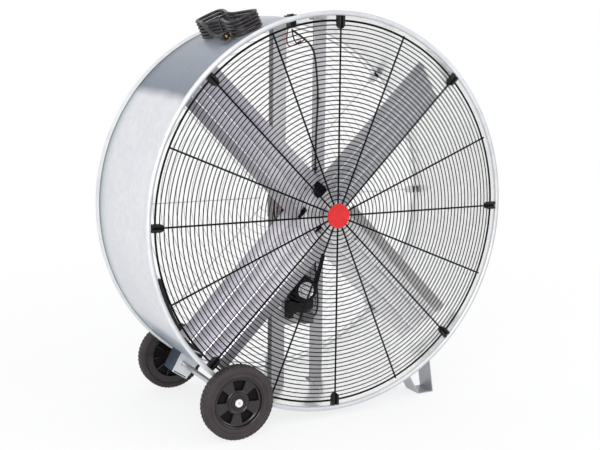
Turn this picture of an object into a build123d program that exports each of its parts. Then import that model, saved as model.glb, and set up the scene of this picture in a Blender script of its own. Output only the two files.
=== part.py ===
from build123d import *
from math import asin, cos, degrees, dist, pi, radians, sin, tan
import os

# A belt-driven drum fan on two wheels and two strap feet. Millimetres, +Z up, the air leaves
# towards -Y. The origin is on the floor, under the middle of the drum.

# ---- drum ----
axis_z = 591.0              # height of the drum's axis above the floor
drum_r = 568.0              # over the rolled hems
drum_half = 227.0           # half of the drum's depth
skin_out = 560.0            # outer radius of the sheet
skin_t = 2.0
hem_r = 7.0                 # radius of the rolled hem

# ---- guards ----
ring_first = 46.0           # radius of the smallest ring
ring_last = 541.0
ring_wire = 2.8
edge_wire = 5.0             # the outermost ring is of thicker wire
spoke_wire = 5.0
guard_face = 217.2          # where the rings meet the spokes, from the drum's middle
badge_r = 36.0
clip_count = 8
clip_width = 22.0
# side of the drum, rings, straight stretches in a ring, spokes
guards = {"front": (-1, 42, 16, 16), "rear": (1, 21, 16, 8)}

# ---- struts and drive ----
strut_in = 45.0             # inner edge of each upright, from the middle
strut_out = 88.0
strut_y = 19.0              # front face of the uprights
strut_t = 3.0
strut_depth = 28.0          # flange going back
belt_y = -25.0              # middle plane of the belt
motor_z = 338.0
sheave_pitch = 100.5
pulley_pitch = 33.5         # a third of the sheave's, so the motor turns three times as fast
shaft_r = 12.5
motor_shaft_r = 8.0
running = 0.08              # radial clearance of a shaft in its bearing

# ---- rotor ----
blade_count = 4
blade_tip = 530.0           # distance of the straight tip edge from the axis
blade_root = 57.0
blade_y = -111.0            # middle plane of the rotor
blade_pitch = 25.5          # degrees between the chord and the plane of rotation
blade_t = 2.0
rib_places = (-37.0, 13.0, 57.0)
arm_width = 55.0
arm_t = 5.0
arm_reach = 170.0

# ---- wheels, axle and feet ----
wheel_r = 104.0             # nominal 8 inch wheels, over the tread
wheel_sides = 24            # the tread is drawn with this many flats, one of them on the floor
wheel_x = -326.0
wheel_y = 253.0             # middle of each wheel
tyre_half = 20.5
hub_r = 72.5
axle_r = 8.0
foot_y = 121.0              # middle of each strap's width
foot_width = 68.0
foot_t = 3.0

# ---- power cord ----
cord_d = 9.0

os.makedirs("parts", exist_ok=True)


def facing(y, x=0.0, z=axis_z):
    """Plane seen from the front: X right, Z up, extrusions come towards the viewer."""
    return Plane(origin=(x, y, z), x_dir=(1, 0, 0), z_dir=(0, -1, 0))


def half_section(x=0.0, z=axis_z):
    """Plane for profiles turned about a Y axis: local x is the radius, local y is Y."""
    return Plane(origin=(x, 0, z), x_dir=(1, 0, 0), z_dir=(0, 0, 1))


def y_axis(x=0.0, z=axis_z):
    return Axis((x, 0, z), (0, 1, 0))


def save(piece, name):
    piece.label = name
    export_step(piece, f"parts/{name}.step")


def flat_ring(points, sides, x=0.0, z=axis_z):
    """A (radius, y) profile carried round a regular polygon about a Y axis through (x, z)."""
    first = points[0][0]
    corner = first / cos(pi / sides)
    turns = [2 * pi * k / sides - pi / 2 + pi / sides for k in range(sides)]
    with BuildPart() as body:
        with BuildLine(facing(0, x, z)) as path:
            Polyline((0, -first), *[(corner * cos(a), corner * sin(a)) for a in turns], close=True)
        with BuildSketch(Plane(origin=(x, 0, z - first), x_dir=(0, 0, -1), z_dir=(1, 0, 0))):
            with BuildLine():
                Polyline(*[(r - first, y) for r, y in points], close=True)
            make_face()
        sweep(path=path.line, transition=Transition.RIGHT)
    return body.part


def bored(points, shaft, x=0.0, z=axis_z):
    """A housing with flats outside and a round running bore, on a shaft of the given radius."""
    low = min(y for r, y in points)
    high = max(y for r, y in points)
    with BuildPart() as body:
        add(flat_ring(points, 20, x, z))
        with BuildSketch(facing(high, x, z)):
            Circle(points[0][0] + 1.0)
            Circle(shaft + running, mode=Mode.SUBTRACT)
        extrude(amount=high - low)
    return body.part


def guard_ring(radius, sides, side, wire):
    """One ring of guard wire, three-sided, its flat on the spokes, drawn with straight stretches."""
    turns = [2 * pi * k / sides for k in range(sides)]
    with BuildPart() as ring:
        with BuildLine(facing(side * (guard_face - 0.3 * wire))) as path:
            Polyline(*[(radius * cos(a), radius * sin(a)) for a in turns], close=True)
        with BuildSketch(Plane(origin=path.line @ 0, x_dir=(0, -side, 0), z_dir=path.line % 0)):
            RegularPolygon(0.6 * wire, 3)
        sweep(transition=Transition.RIGHT)
    return ring.part


def block(x0, x1, y0, y1, z0, z1):
    """A plain box between two corners."""
    with BuildPart() as body:
        with Locations(((x0 + x1) / 2, (y0 + y1) / 2, (z0 + z1) / 2)):
            Box(x1 - x0, y1 - y0, z1 - z0)
    return body.part


def folded(line, thickness):
    """Outline of folded sheet: the given line, and the same line moved to its left."""
    moved = []
    for k, (x, y) in enumerate(line):
        before = line[max(k - 1, 0)]
        after = line[min(k + 1, len(line) - 1)]
        into = Vector(x - before[0], y - before[1]) if k > 0 else Vector(after[0] - x, after[1] - y)
        away = Vector(after[0] - x, after[1] - y) if k < len(line) - 1 else into
        into = into.normalized()
        away = away.normalized()
        mitre = thickness / (1 + into.dot(away))
        moved.append((x - (into.Y + away.Y) * mitre, y + (into.X + away.X) * mitre))
    return line + moved[::-1]


def skin_plane(polar, y):
    """Plane on the drum's outside: local x along Y, local y round the drum, normal outwards."""
    turn = radians(polar)
    outward = Vector(cos(turn), 0, sin(turn))
    return Plane(origin=Vector(0, y, axis_z) + outward * skin_out, x_dir=(0, 1, 0), z_dir=outward)


# ================= drum shell =================
switch_seat = skin_plane(97.5, -60.0)
with BuildPart() as drum_shell:
    with BuildSketch(half_section()):
        with Locations((skin_out - skin_t / 2, 0)):
            Rectangle(skin_t, 2 * (drum_half - hem_r))
        with Locations((drum_r - hem_r, hem_r - drum_half), (drum_r - hem_r, drum_half - hem_r)):
            RegularPolygon(hem_r, 6)
    revolve(axis=y_axis())
    with BuildSketch(switch_seat.offset(5.0)):
        Rectangle(31.0, 19.0)
    extrude(amount=-20.0, mode=Mode.SUBTRACT)
save(drum_shell.part, "drum_shell")

# ================= guards =================
for label, (side, ring_count, ring_sides, spoke_count) in guards.items():
    pitch = (ring_last - ring_first) / (ring_count - 1)
    with BuildPart() as guard_rings:
        add([guard_ring(ring_first + pitch * k, ring_sides, side, ring_wire) for k in range(ring_count - 1)])
        add(guard_ring(ring_last, ring_sides, side, edge_wire))
    save(guard_rings.part, f"{label}_guard_rings")

    with BuildPart() as guard_spokes:
        with BuildSketch(facing(side * guard_face)):
            with PolarLocations((ring_last + 30.0) / 2, spoke_count):
                Rectangle(ring_last - 24.0, spoke_wire)
        extrude(amount=-side * spoke_wire)
    save(guard_spokes.part, f"{label}_guard_spokes")

# A clip is a block with a round nose over the rings' ends, slotted for the spoke, with a thin lip
# that goes behind the drum's rolled hem.
nose_at = 530.0
clip_end = drum_r - 2 * hem_r - 0.2
lip_end = skin_out - skin_t - 0.15
clip_back = 6.0 - guard_face
with BuildPart() as front_guard_clips:
    with BuildSketch(facing(clip_back)):
        with PolarLocations(nose_at, clip_count):
            RegularPolygon(clip_width / 2, 12)
        with PolarLocations((nose_at + clip_end) / 2, clip_count):
            Rectangle(clip_end - nose_at, clip_width)
    extrude(amount=14.0)
    with BuildSketch(facing(-guard_face)):
        with PolarLocations(nose_at, clip_count):
            Rectangle(28.0, spoke_wire)
    extrude(amount=10.0, mode=Mode.SUBTRACT)
    with BuildSketch(facing(clip_back)):
        with PolarLocations((545.0 + lip_end) / 2, clip_count):
            Rectangle(lip_end - 545.0, clip_width)
    extrude(amount=2.0)
save(front_guard_clips.part, "front_guard_clips")
with BuildPart() as rear_guard_clips:
    mirror(front_guard_clips.part, about=Plane.XZ)
save(rear_guard_clips.part, "rear_guard_clips")

with BuildPart() as guard_badge:
    with BuildSketch(facing(-guard_face - spoke_wire)):
        RegularPolygon(badge_r, 24)
    extrude(amount=3.0)
save(guard_badge.part, "guard_badge")

# ================= uprights =================
skin_in = skin_out - skin_t - 0.3      # reach of the struts' end tabs


def upright(side):
    """Angle with its ends cut to the drum's curve and a tab bent along the sheet at each end."""
    with BuildPart() as strut:
        low = axis_z - skin_in
        high = axis_z + skin_in
        add(block(strut_in, strut_out, strut_y, strut_y + strut_t, low, high))
        add(block(strut_out - strut_t, strut_out, strut_y, strut_y + strut_depth, low, high))
        with BuildSketch(facing(strut_y + strut_depth)):
            Circle(skin_in)
        extrude(amount=strut_depth, mode=Mode.INTERSECT)
        for end in (-1, 1):
            with BuildSketch(facing(strut_y + strut_depth)):
                Circle(skin_in)
                Circle(skin_in - strut_t, mode=Mode.SUBTRACT)
                with Locations(((strut_in + strut_out) / 2, end * skin_in)):
                    Rectangle(strut_out - strut_in, 60.0, mode=Mode.INTERSECT)
            extrude(amount=strut_depth)
        if side < 0:
            mirror(about=Plane.YZ, mode=Mode.REPLACE)
    return strut.part


save(upright(-1), "strut_left")
save(upright(1), "strut_right")

# ================= shaft bearings on their cross plates =================
plate_half = 34.0
for name, y0, y1 in (("bearing_plate_front", 13.0, 19.0), ("bearing_plate_rear", 47.0, 53.0)):
    with BuildPart() as plate:
        with BuildSketch(facing(y1)):
            Rectangle(2 * strut_out, 2 * plate_half)
            RegularPolygon(shaft_r + 4.0, 12, mode=Mode.SUBTRACT)
        extrude(amount=y1 - y0)
    save(plate.part, name)

for name, outer, inner in (("bearing_front", -4.0, 13.0), ("bearing_rear", 70.0, 53.0)):
    step = (outer - inner) / 3
    housing = [(15.0, inner), (30.0, inner), (30.0, inner + step), (22.0, outer), (15.0, outer)]
    save(bored(housing, shaft_r), name)

# ================= rotor =================
with BuildPart() as fan_shaft:
    with BuildSketch(facing(84.0)):
        Circle(shaft_r)
    extrude(amount=84.0 + 146.0)
save(fan_shaft.part, "fan_shaft")


def blade_plane(k, along=0.0):
    """Section plane of blade k: local x runs along the chord to its front edge, local y towards
    the front face, and the normal points outwards along the blade."""
    turn = radians(45.0 + 360.0 / blade_count * k)
    tilt = radians(blade_pitch)
    outward = Vector(cos(turn), 0, sin(turn))
    chord = Vector(-sin(turn) * cos(tilt), -sin(tilt), cos(turn) * cos(tilt))
    return Plane(origin=Vector(0, blade_y, axis_z) + outward * along, x_dir=chord, z_dir=outward)


rib_half = 5.0
rib_rise = 2.5
blade_line = [(-79.0, 3.5), (-60.0, 0.0)]
for place in rib_places:
    blade_line += [(place - rib_half, 0.0), (place - 2.0, rib_rise)]
    blade_line += [(place + 2.0, rib_rise), (place + rib_half, 0.0)]
blade_line += [(66.0, 0.0), (86.0, -9.5)]
blade_outline = folded(blade_line, blade_t)

for k in range(blade_count):
    with BuildPart() as blade:
        with BuildSketch(blade_plane(k, blade_root)):
            with BuildLine():
                Polyline(*blade_outline, close=True)
            make_face()
        extrude(amount=blade_tip - blade_root)
    save(blade.part, f"blade_{k + 1}")

with BuildPart() as fan_spider:
    with BuildSketch(facing(blade_y + 26.0)):
        RegularPolygon(26.0, 16)
    extrude(amount=52.0)
    with BuildSketch(facing(blade_y + 6.0)):
        RegularPolygon(38.0, 16)
    extrude(amount=8.0)
    for k in range(blade_count):
        with BuildSketch(blade_plane(k, 20.0)):
            with Locations((0, -arm_t / 2)):
                Rectangle(arm_width, arm_t)
        extrude(amount=arm_reach - 20.0)
    with BuildSketch(facing(blade_y + 40.0)):
        RegularPolygon(shaft_r + 0.02, 16, major_radius=False)
    extrude(amount=80.0, mode=Mode.SUBTRACT)
save(fan_spider.part, "fan_spider")

rivet_spots = [(s, u) for s in (-16.0, 24.5) for u in (80.0, 145.0)]
with BuildPart() as blade_rivets:
    for k in range(blade_count):
        for s, u in rivet_spots:
            base = blade_plane(k, u)
            seat = Plane(origin=base.from_local_coords((s, blade_t, 0)), x_dir=base.z_dir, z_dir=base.y_dir)
            with BuildSketch(seat):
                RegularPolygon(6.0, 6)
            extrude(amount=3.0)
save(blade_rivets.part, "blade_rivets")

# ================= belt drive =================
groove_top = 7.6
groove_foot = 5.6
wheel_rim = 10.0
sheave_out = sheave_pitch + 4.0
sheave_profile = [
    (shaft_r + 0.02, 14.0), (24.0, 14.0), (24.0, 3.0),
    (sheave_out - 20.0, 3.0), (sheave_out - 20.0, wheel_rim),
    (sheave_out, wheel_rim), (sheave_out, groove_top), (sheave_out - 13.0, groove_foot),
    (sheave_out - 13.0, -groove_foot), (sheave_out, -groove_top), (sheave_out, -wheel_rim),
    (sheave_out - 20.0, -wheel_rim), (sheave_out - 20.0, -3.0), (shaft_r + 0.02, -3.0),
]
with BuildPart() as fan_sheave:
    add(flat_ring([(r, belt_y + y) for r, y in sheave_profile], 24))
    with BuildSketch(facing(belt_y + 3.0)):
        with PolarLocations(54.0, 5):
            RegularPolygon(17.0, 10)
    extrude(amount=6.0, mode=Mode.SUBTRACT)
save(fan_sheave.part, "fan_sheave")

pulley_out = pulley_pitch + 4.0
pulley_profile = [
    (motor_shaft_r + 0.02, wheel_rim), (pulley_out, wheel_rim), (pulley_out, groove_top),
    (pulley_out - 13.0, groove_foot), (pulley_out - 13.0, -groove_foot), (pulley_out, -groove_top),
    (pulley_out, -wheel_rim), (15.0, -wheel_rim),
    (15.0, -wheel_rim - 5.0), (motor_shaft_r + 0.02, -wheel_rim - 5.0),
]
save(flat_ring([(r, belt_y + y) for r, y in pulley_profile], 16, z=motor_z), "motor_pulley")

belt_half = 5.5
with BuildPart() as drive_belt:
    for grow, mode in ((4.0, Mode.ADD), (-4.0, Mode.SUBTRACT)):
        with BuildSketch(facing(belt_y + belt_half)):
            Circle(sheave_pitch + grow)
            with Locations((0, motor_z - axis_z)):
                Circle(pulley_pitch + grow)
            make_hull()
        extrude(amount=2 * belt_half, mode=mode)
save(drive_belt.part, "drive_belt")

collar_profile = [(shaft_r + 0.02, 0.0), (21.0, 0.0), (21.0, 6.0), (shaft_r + 0.02, 6.0)]
with BuildPart() as shaft_collars:
    for y in (-10.6, 70.4):
        add(flat_ring([(r, y + d) for r, d in collar_profile], 12))
save(shaft_collars.part, "shaft_collars")

# ================= motor =================
bell_r = 44.0
motor_r = 62.0
motor_back = 172.0
with BuildPart() as motor_shaft:
    with BuildSketch(facing(motor_back - 8.0, z=motor_z)):
        Circle(motor_shaft_r)
    extrude(amount=motor_back - 8.0 - (belt_y - wheel_rim - 7.0))
save(motor_shaft.part, "motor_shaft")

bracket_y = strut_y + strut_t
bracket_t = 4.0
save(bored([(11.0, -6.0), (36.0, -6.0), (bell_r, 2.0), (bell_r, bracket_y + bracket_t),
            (11.0, bracket_y + bracket_t)], motor_shaft_r, z=motor_z), "motor_front_bell")
save(flat_ring([(motor_shaft_r + 2.0, bracket_y + bracket_t), (motor_r, bracket_y + bracket_t),
                (motor_r, 150.0), (motor_shaft_r + 2.0, 150.0)], 24, z=motor_z), "motor_shell")
save(bored([(11.0, 150.0), (motor_r - 2.0, 150.0), (motor_r - 2.0, 158.0), (40.0, motor_back),
            (11.0, motor_back)], motor_shaft_r, z=motor_z), "motor_rear_bell")

with BuildPart() as motor_bracket:
    with BuildSketch(facing(bracket_y + bracket_t)):
        with Locations((0, (222.0 + 414.0) / 2 - axis_z)):
            Rectangle(2 * (strut_out - strut_t), 414.0 - 222.0)
        with Locations((0, motor_z - axis_z)):
            Circle(bell_r + 1.0, mode=Mode.SUBTRACT)
    extrude(amount=bracket_t)
save(motor_bracket.part, "motor_bracket")

with BuildPart() as motor_cradle:
    with BuildSketch(facing(bracket_y)):
        with BuildLine():
            Polyline((-43.0, 300.0 - axis_z), (-43.0, 247.0 - axis_z), (-27.0, 247.0 - axis_z),
                     (-24.0, 262.0 - axis_z), (43.0, 272.0 - axis_z), (43.0, 300.0 - axis_z), close=True)
        make_face()
        with Locations((0, motor_z - axis_z)):
            Circle(bell_r + 1.0, mode=Mode.SUBTRACT)
    extrude(amount=26.0)
save(motor_cradle.part, "motor_cradle")

with BuildPart() as motor_box:
    with Locations((26.0, bracket_y - 13.0, 243.0)):
        Box(36.0, 26.0, 36.0)
    fillet(motor_box.edges().filter_by(Axis.Y), 4.0)
save(motor_box.part, "motor_box")

# ================= axle, brackets and wheels =================
wheel_z = wheel_r
with BuildPart() as axle:
    with BuildSketch(facing(wheel_y + 14.0, wheel_x, wheel_z)):
        Circle(axle_r)
    extrude(amount=2 * (wheel_y + 14.0))
save(axle.part, "axle")

with BuildPart() as axle_caps:
    with BuildSketch(facing(-wheel_y - 11.0, wheel_x, wheel_z)):
        RegularPolygon(11.5, 16)
    extrude(amount=4.0)
    with BuildSketch(facing(-wheel_y - 11.0, wheel_x, wheel_z)):
        RegularPolygon(axle_r + 0.02, 16, major_radius=False)
    extrude(amount=3.0, mode=Mode.SUBTRACT)
    mirror(about=Plane.XZ)
save(axle_caps.part, "axle_caps")

spacer_profile = [(axle_r + 0.02, 212.5), (13.0, 212.5), (13.0, 234.6), (axle_r + 0.02, 234.6)]
with BuildPart() as axle_spacers:
    for side in (-1, 1):
        add(flat_ring([(r, side * y) for r, y in spacer_profile], 12, wheel_x, wheel_z))
save(axle_spacers.part, "axle_spacers")

# Folded sheet box between the drum and the axle, open towards the drum's edge and the drum's skin.
bracket_corners = [(-332.0, 145.0), (-365.0, 86.0), (-319.0, 55.0), (-268.0, 109.0)]
bracket_near = 141.0
bracket_far = 212.0
sheet_t = 2.5
bracket_gap = 3.0           # between the near wall and the flange under it
with BuildPart() as axle_bracket_rear:
    with BuildSketch(facing(bracket_far, 0, 0)):
        with BuildLine():
            Polyline(*bracket_corners, close=True)
        make_face()
        with Locations((0, axis_z)):
            Circle(skin_out, mode=Mode.SUBTRACT)
    extrude(amount=bracket_far - bracket_near)
    with BuildSketch(facing(bracket_far, 0, 0)):
        with BuildLine():
            Polyline(*bracket_corners, close=True)
        make_face()
        offset(amount=-sheet_t, kind=Kind.INTERSECTION, mode=Mode.REPLACE)
    extrude(amount=bracket_far - bracket_near - sheet_t, mode=Mode.SUBTRACT)
    low = Vector(*bracket_corners[1])
    along = Vector(*bracket_corners[2]) - low
    flange_end = Vector(low.X, bracket_near + sheet_t, low.Y)
    with BuildSketch(Plane(origin=flange_end, x_dir=(along.X, 0, along.Y), z_dir=(0, -1, 0))):
        with Locations((along.length / 2, sheet_t + bracket_gap / 2)):
            Rectangle(along.length - 4 * sheet_t, bracket_gap)
    extrude(amount=sheet_t, mode=Mode.SUBTRACT)
    with BuildSketch(facing(bracket_far, wheel_x, wheel_z)):
        RegularPolygon(axle_r + 0.05, 12, major_radius=False)
    extrude(amount=bracket_far - bracket_near, mode=Mode.SUBTRACT)
save(axle_bracket_rear.part, "axle_bracket_rear")
with BuildPart() as axle_bracket_front:
    mirror(axle_bracket_rear.part, about=Plane.XZ)
save(axle_bracket_front.part, "axle_bracket_front")

rim_in = 64.5
flange_r = 86.0             # the hub's wide flange on the drum's side of the wheel
tyre_profile = [(hub_r, -16.0), (92.0, -tyre_half), (wheel_r, -11.0), (wheel_r, 11.0), (93.0, tyre_half),
                (flange_r, 18.0), (flange_r, 13.0), (hub_r, 13.0)]
rim_profile = [(rim_in, -17.5), (hub_r, -16.0), (hub_r, 13.0), (flange_r, 13.0), (flange_r, 18.0),
               (rim_in, 18.0)]
boss_r = 24.0
web_front = -6.0            # outer face of the hub's web, from the wheel's middle
web_back = 8.0
pocket_depth = 9.0
rib_count = 10              # radial ribs on the drum's side of the web

with BuildPart() as front_tyre:
    add(flat_ring([(r, y - wheel_y) for r, y in tyre_profile], wheel_sides, wheel_x, wheel_z))
save(front_tyre.part, "wheel_front_tyre")

with BuildPart() as front_hub:
    add(flat_ring([(r, y - wheel_y) for r, y in rim_profile], wheel_sides, wheel_x, wheel_z))
    with BuildSketch(facing(web_back - wheel_y, wheel_x, wheel_z)):
        RegularPolygon(rim_in + 1.0, wheel_sides, major_radius=False, rotation=180.0 / wheel_sides)
    extrude(amount=web_back - web_front)
    with BuildSketch(facing(web_front - wheel_y, wheel_x, wheel_z)):
        with PolarLocations(46.5, 5, start_angle=86.0):
            Polygon((-15.5, -8.0), (15.5, -18.5), (15.5, 18.5), (-15.5, 8.0), align=None)
    extrude(amount=-pocket_depth, mode=Mode.SUBTRACT)
    with BuildSketch(facing(web_back + 8.0 - wheel_y, wheel_x, wheel_z)):
        with PolarLocations((boss_r + rim_in) / 2, rib_count):
            Rectangle(rim_in - boss_r + 2.0, 3.0)
    extrude(amount=8.0)
    with BuildSketch(facing(18.0 - wheel_y, wheel_x, wheel_z)):
        RegularPolygon(boss_r, 16)
    extrude(amount=28.0)
    with BuildSketch(facing(18.0 - wheel_y, wheel_x, wheel_z)):
        Circle(axle_r + running)
    extrude(amount=36.0, mode=Mode.SUBTRACT)
save(front_hub.part, "wheel_front_hub")

for piece, name in ((front_tyre, "wheel_rear_tyre"), (front_hub, "wheel_rear_hub")):
    with BuildPart() as twin:
        mirror(piece.part, about=Plane.XZ)
    save(twin.part, name)

# Each foot is one strap: a tab on the skin, a slanting leg, a flat on the floor, a steep leg, a tab.
foot_line = [(253.0, 87.5), (277.3, 101.4), (338.0, 0.0), (393.0, 0.0), (367.6, 164.4), (388.9, 182.8)]


def strap_foot(middle):
    with BuildPart() as foot:
        with BuildSketch(facing(middle + foot_width / 2, 0, 0)):
            with BuildLine():
                Polyline(*folded(foot_line, foot_t), close=True)
            make_face()
            with Locations((0, axis_z)):
                Circle(skin_out, mode=Mode.SUBTRACT)
        extrude(amount=foot_width)
    return foot.part


save(strap_foot(-foot_y), "foot_front")
save(strap_foot(foot_y), "foot_rear")

# ================= edge strip, switch =================
with BuildPart() as edge_guard:
    with BuildSketch(half_section()):
        with Locations((550.0, -219.0)):
            Rectangle(7.0, 13.0)
    revolve(axis=y_axis(), revolution_arc=14.0)
edge_strip = edge_guard.part.rotate(y_axis(), -208.0)
save(edge_strip, "edge_guard")

with BuildPart() as switch_body:
    with BuildSketch(switch_seat.offset(4.0)):
        Rectangle(36.0, 24.0)
    extrude(amount=-4.0 + 0.4)
    with BuildSketch(switch_seat.offset(4.0)):
        Rectangle(30.0, 18.0)
    extrude(amount=-34.0)
    with BuildSketch(switch_seat.offset(4.0)):
        Rectangle(24.0, 13.0)
    extrude(amount=-12.0, mode=Mode.SUBTRACT)
save(switch_body.part, "switch_body")

with BuildPart() as switch_rocker:
    with BuildSketch(Plane(origin=switch_seat.origin, x_dir=(0, 1, 0), z_dir=-switch_seat.y_dir)):
        with BuildLine():
            Polyline((-10.5, 7.0), (0, 4.5), (10.5, 7.0), (10.0, -1.0), (4.0, -5.5), (-4.0, -5.5),
                     (-10.0, -1.0), close=True)
        make_face()
    extrude(amount=5.8, both=True)
save(switch_rocker.part, "switch_rocker")

# ================= power cord =================
hank_polar = 115.5          # degrees round the drum, from +X
hank_y = -31.5
layer_step = 9.6
front_turns = 5             # folds of the bundle at the front; one more at the rear
layer_first = 7.0           # middle of the lowest fold, from the skin
end_run = 135.0             # corner of an end turn, along the bundle
end_side = 40.0
turn_radius = 39.9
flare_run = 84.0            # where the bundle starts to draw in towards its tie
waist_side = 11.0
meet_run = 85.0             # where the free stretch becomes the bundle
hank_seat = skin_plane(hank_polar, hank_y)


def over_skin(place):
    """Point from its place on the bundle's seat: along Y, round the drum to the left, outwards."""
    return hank_seat.from_local_coords(place)


def corner_radii(points, widest):
    """Radius at each corner: 0.45 of the shorter run there, over the tangent of half the turn."""
    radii = []
    for before, corner, after in zip(points, points[1:], points[2:]):
        run_in = corner - before
        run_out = after - corner
        half_turn = radians(run_in.get_angle(run_out)) / 2
        radii.append(min(widest, 0.45 * min(run_in.length, run_out.length) / tan(half_turn)))
    return radii


def cord_tube(points, radii, sides, radius):
    with BuildPart() as tube:
        with BuildLine() as path:
            FilletPolyline(*points, radius=radii)
        with BuildSketch(Plane(origin=path.line @ 0, z_dir=path.line % 0)):
            RegularPolygon(radius, sides)
        sweep()
    return tube.part, path.wire()


gland_side = 70.0
gland_seat = skin_plane(hank_polar - degrees(asin(gland_side / skin_out)), hank_y)
gland_exit = gland_seat.from_local_coords((0, 0, 10.5))
meet = over_skin((meet_run, -end_side, layer_first))
lead_points = [gland_exit, gland_exit + Vector(0, 27.0, 0), over_skin((60.0, -end_side, layer_first)), meet]
lead_radii = corner_radii(lead_points, 60.0)
cord_lead, lead_wire = cord_tube(lead_points, lead_radii, 6, cord_d / 2)
save(cord_lead, "cord_lead")

with BuildPart() as cord_gland:
    with BuildSketch(gland_seat.offset(0.4)):
        with Locations((-15.0, 0)):
            RegularPolygon(14.0, 8)
    extrude(amount=4.0)
    for start, radius, reach in ((-27.0, 9.0, 21.0), (-6.0, 6.8, 6.0)):
        with BuildSketch(Plane(origin=gland_seat.from_local_coords((start, 0, 10.5)), z_dir=(0, 1, 0))):
            RegularPolygon(radius, 8)
        extrude(amount=reach)
save(cord_gland.part, "cord_gland")

hank_places = [(meet_run, -end_side, layer_first)]
for layer in range(front_turns):
    low = layer_first + layer_step * layer
    hank_places += [(end_run, -end_side, low), (end_run, end_side, low), (flare_run, end_side, low)]
    hank_places += [(0, waist_side, low), (-flare_run, end_side, low)]
    hank_places += [(-end_run, end_side, low), (-end_run, -end_side, low), (-flare_run, -end_side, low)]
    hank_places += [(0, -waist_side, low + layer_step / 2), (flare_run, -end_side, low + layer_step)]
top = layer_first + layer_step * front_turns
hank_places += [(end_run, -end_side, top), (end_run, end_side, top), (flare_run, end_side, top)]
hank_places += [(46.0, 54.0, top - 1.0), (10.0, 58.0, 34.0), (-18.0, 58.0, 15.0), (-50.0, 58.0, 15.0)]
hank_points = [over_skin(place) for place in hank_places]
hank_radii = corner_radii(hank_points, 48.0)
for k, place in enumerate(hank_places[1:-1]):
    if abs(place[0]) == end_run:
        hank_radii[k] = turn_radius
cord_hank, hank_wire = cord_tube(hank_points, hank_radii, 5, cord_d / 2)
save(cord_hank, "cord_hank")


def least_gap(wire, spacing=4.0, apart=60.0):
    """Smallest distance between two stretches of a tube's centre line, less its diameter."""
    steps = int(wire.length / spacing)
    spots = [tuple(wire.position_at(k / steps)) for k in range(steps + 1)]
    skip = int(apart / spacing)
    return min(dist(p, q) for k, p in enumerate(spots) for q in spots[k + skip:]) - cord_d


print("lead radii", [round(r, 1) for r in lead_radii])
print("hank radii", sorted({round(r, 1) for r in hank_radii}))
print("cord length", round(lead_wire.length, 1), round(hank_wire.length, 1))
print("cord volumes", round(cord_lead.volume, 1), round(cord_hank.volume, 1))
print("hank gap to itself", round(least_gap(hank_wire), 2))

tie_top = top - layer_step / 2 + cord_d / 2
with BuildPart() as cord_tie:
    with BuildSketch(Plane(origin=over_skin((-4.0, 0, 0)), x_dir=hank_seat.y_dir, z_dir=(0, 1, 0))):
        with Locations((0, (tie_top + 2.0) / 2)):
            Rectangle(41.0, tie_top + 1.2)
            Rectangle(38.0, tie_top - 1.4, mode=Mode.SUBTRACT)
    extrude(amount=8.0)
save(cord_tie.part, "cord_tie")


def chamfered(width, height, cut):
    """Corners of a rectangle with its corners cut off."""
    w = width / 2
    h = height / 2
    return [(w, h - cut), (w - cut, h), (cut - w, h), (-w, h - cut),
            (-w, cut - h), (cut - w, -h), (w - cut, -h), (w, cut - h)]


plug_plane = Plane(origin=over_skin((-50.0, 58.0, 15.0)), x_dir=-hank_seat.y_dir, z_dir=(0, -1, 0))
neck_length = 16.0
with BuildPart() as plug:
    with BuildSketch(plug_plane.offset(neck_length)):
        Polygon(*chamfered(24.0, 19.5, 4.0))
    extrude(amount=45.0 - neck_length)
    with BuildSketch(plug_plane.offset(neck_length)):
        Polygon(*chamfered(22.0, 19.0, 4.0))
    extrude(amount=-neck_length, taper=14.0)
save(plug.part, "plug")

with BuildPart() as plug_prongs:
    with BuildSketch(plug_plane.offset(45.0)):
        with Locations((-6.3, 2.0), (6.3, 2.0)):
            Rectangle(1.6, 6.4)
        with Locations((0, -5.0)):
            RegularPolygon(2.4, 6)
    extrude(amount=17.0)
save(plug_prongs.part, "plug_prongs")

# ================= motor cable, wires and bolts =================
cable_r = 4.0
cable_points = [Vector(-64.0, -60.0, 1106.0), Vector(-25.0, -48.0, 1088.0), Vector(30.0, -4.0, 1062.0),
                Vector(48.0, 8.0, 1022.0), Vector(58.0, 8.0, 912.0), Vector(50.0, 8.0, 800.0),
                Vector(50.0, 8.0, 430.0), Vector(60.0, 8.0, 360.0), Vector(68.0, 8.0, 243.0),
                Vector(44.4, 8.0, 243.0)]
motor_cable, cable_wire = cord_tube(cable_points, corner_radii(cable_points, 60.0), 5, cable_r)
save(motor_cable, "motor_cable")

clip_spots = [(58.0, 912.0), (50.0, 700.0), (50.0, 480.0)]
with BuildPart() as cable_clips:
    for x, z in clip_spots:
        with BuildSketch(Plane(origin=(x, 8.0, z - 3.0), x_dir=(1, 0, 0), z_dir=(0, 0, 1))):
            RegularPolygon(6.5, 8)
            with Locations((0, 8.0)):
                Rectangle(4.0, 5.8)
            RegularPolygon(cable_r + 0.6, 8, mode=Mode.SUBTRACT)
        extrude(amount=6.0)
save(cable_clips.part, "cable_clips")

wire_places = (
    ((-72.0, -68.0, 1112.0), (-66.0, -66.0, 1076.0), (-40.0, -52.0, 1070.0), (-26.0, -56.0, 1082.0)),
    ((-66.0, -54.0, 1112.0), (-58.0, -46.0, 1084.0), (-44.0, -42.0, 1078.0), (-30.0, -40.0, 1084.0)),
    ((-76.0, -50.0, 1112.0), (-84.0, -52.0, 1072.0), (-58.0, -38.0, 1058.0), (-28.0, -38.0, 1080.0)),
)
with BuildPart() as switch_wires:
    for places in wire_places:
        points = [Vector(*place) for place in places]
        add(cord_tube(points, corner_radii(points, 40.0), 3, 1.8)[0])
save(switch_wires.part, "switch_wires")

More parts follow.
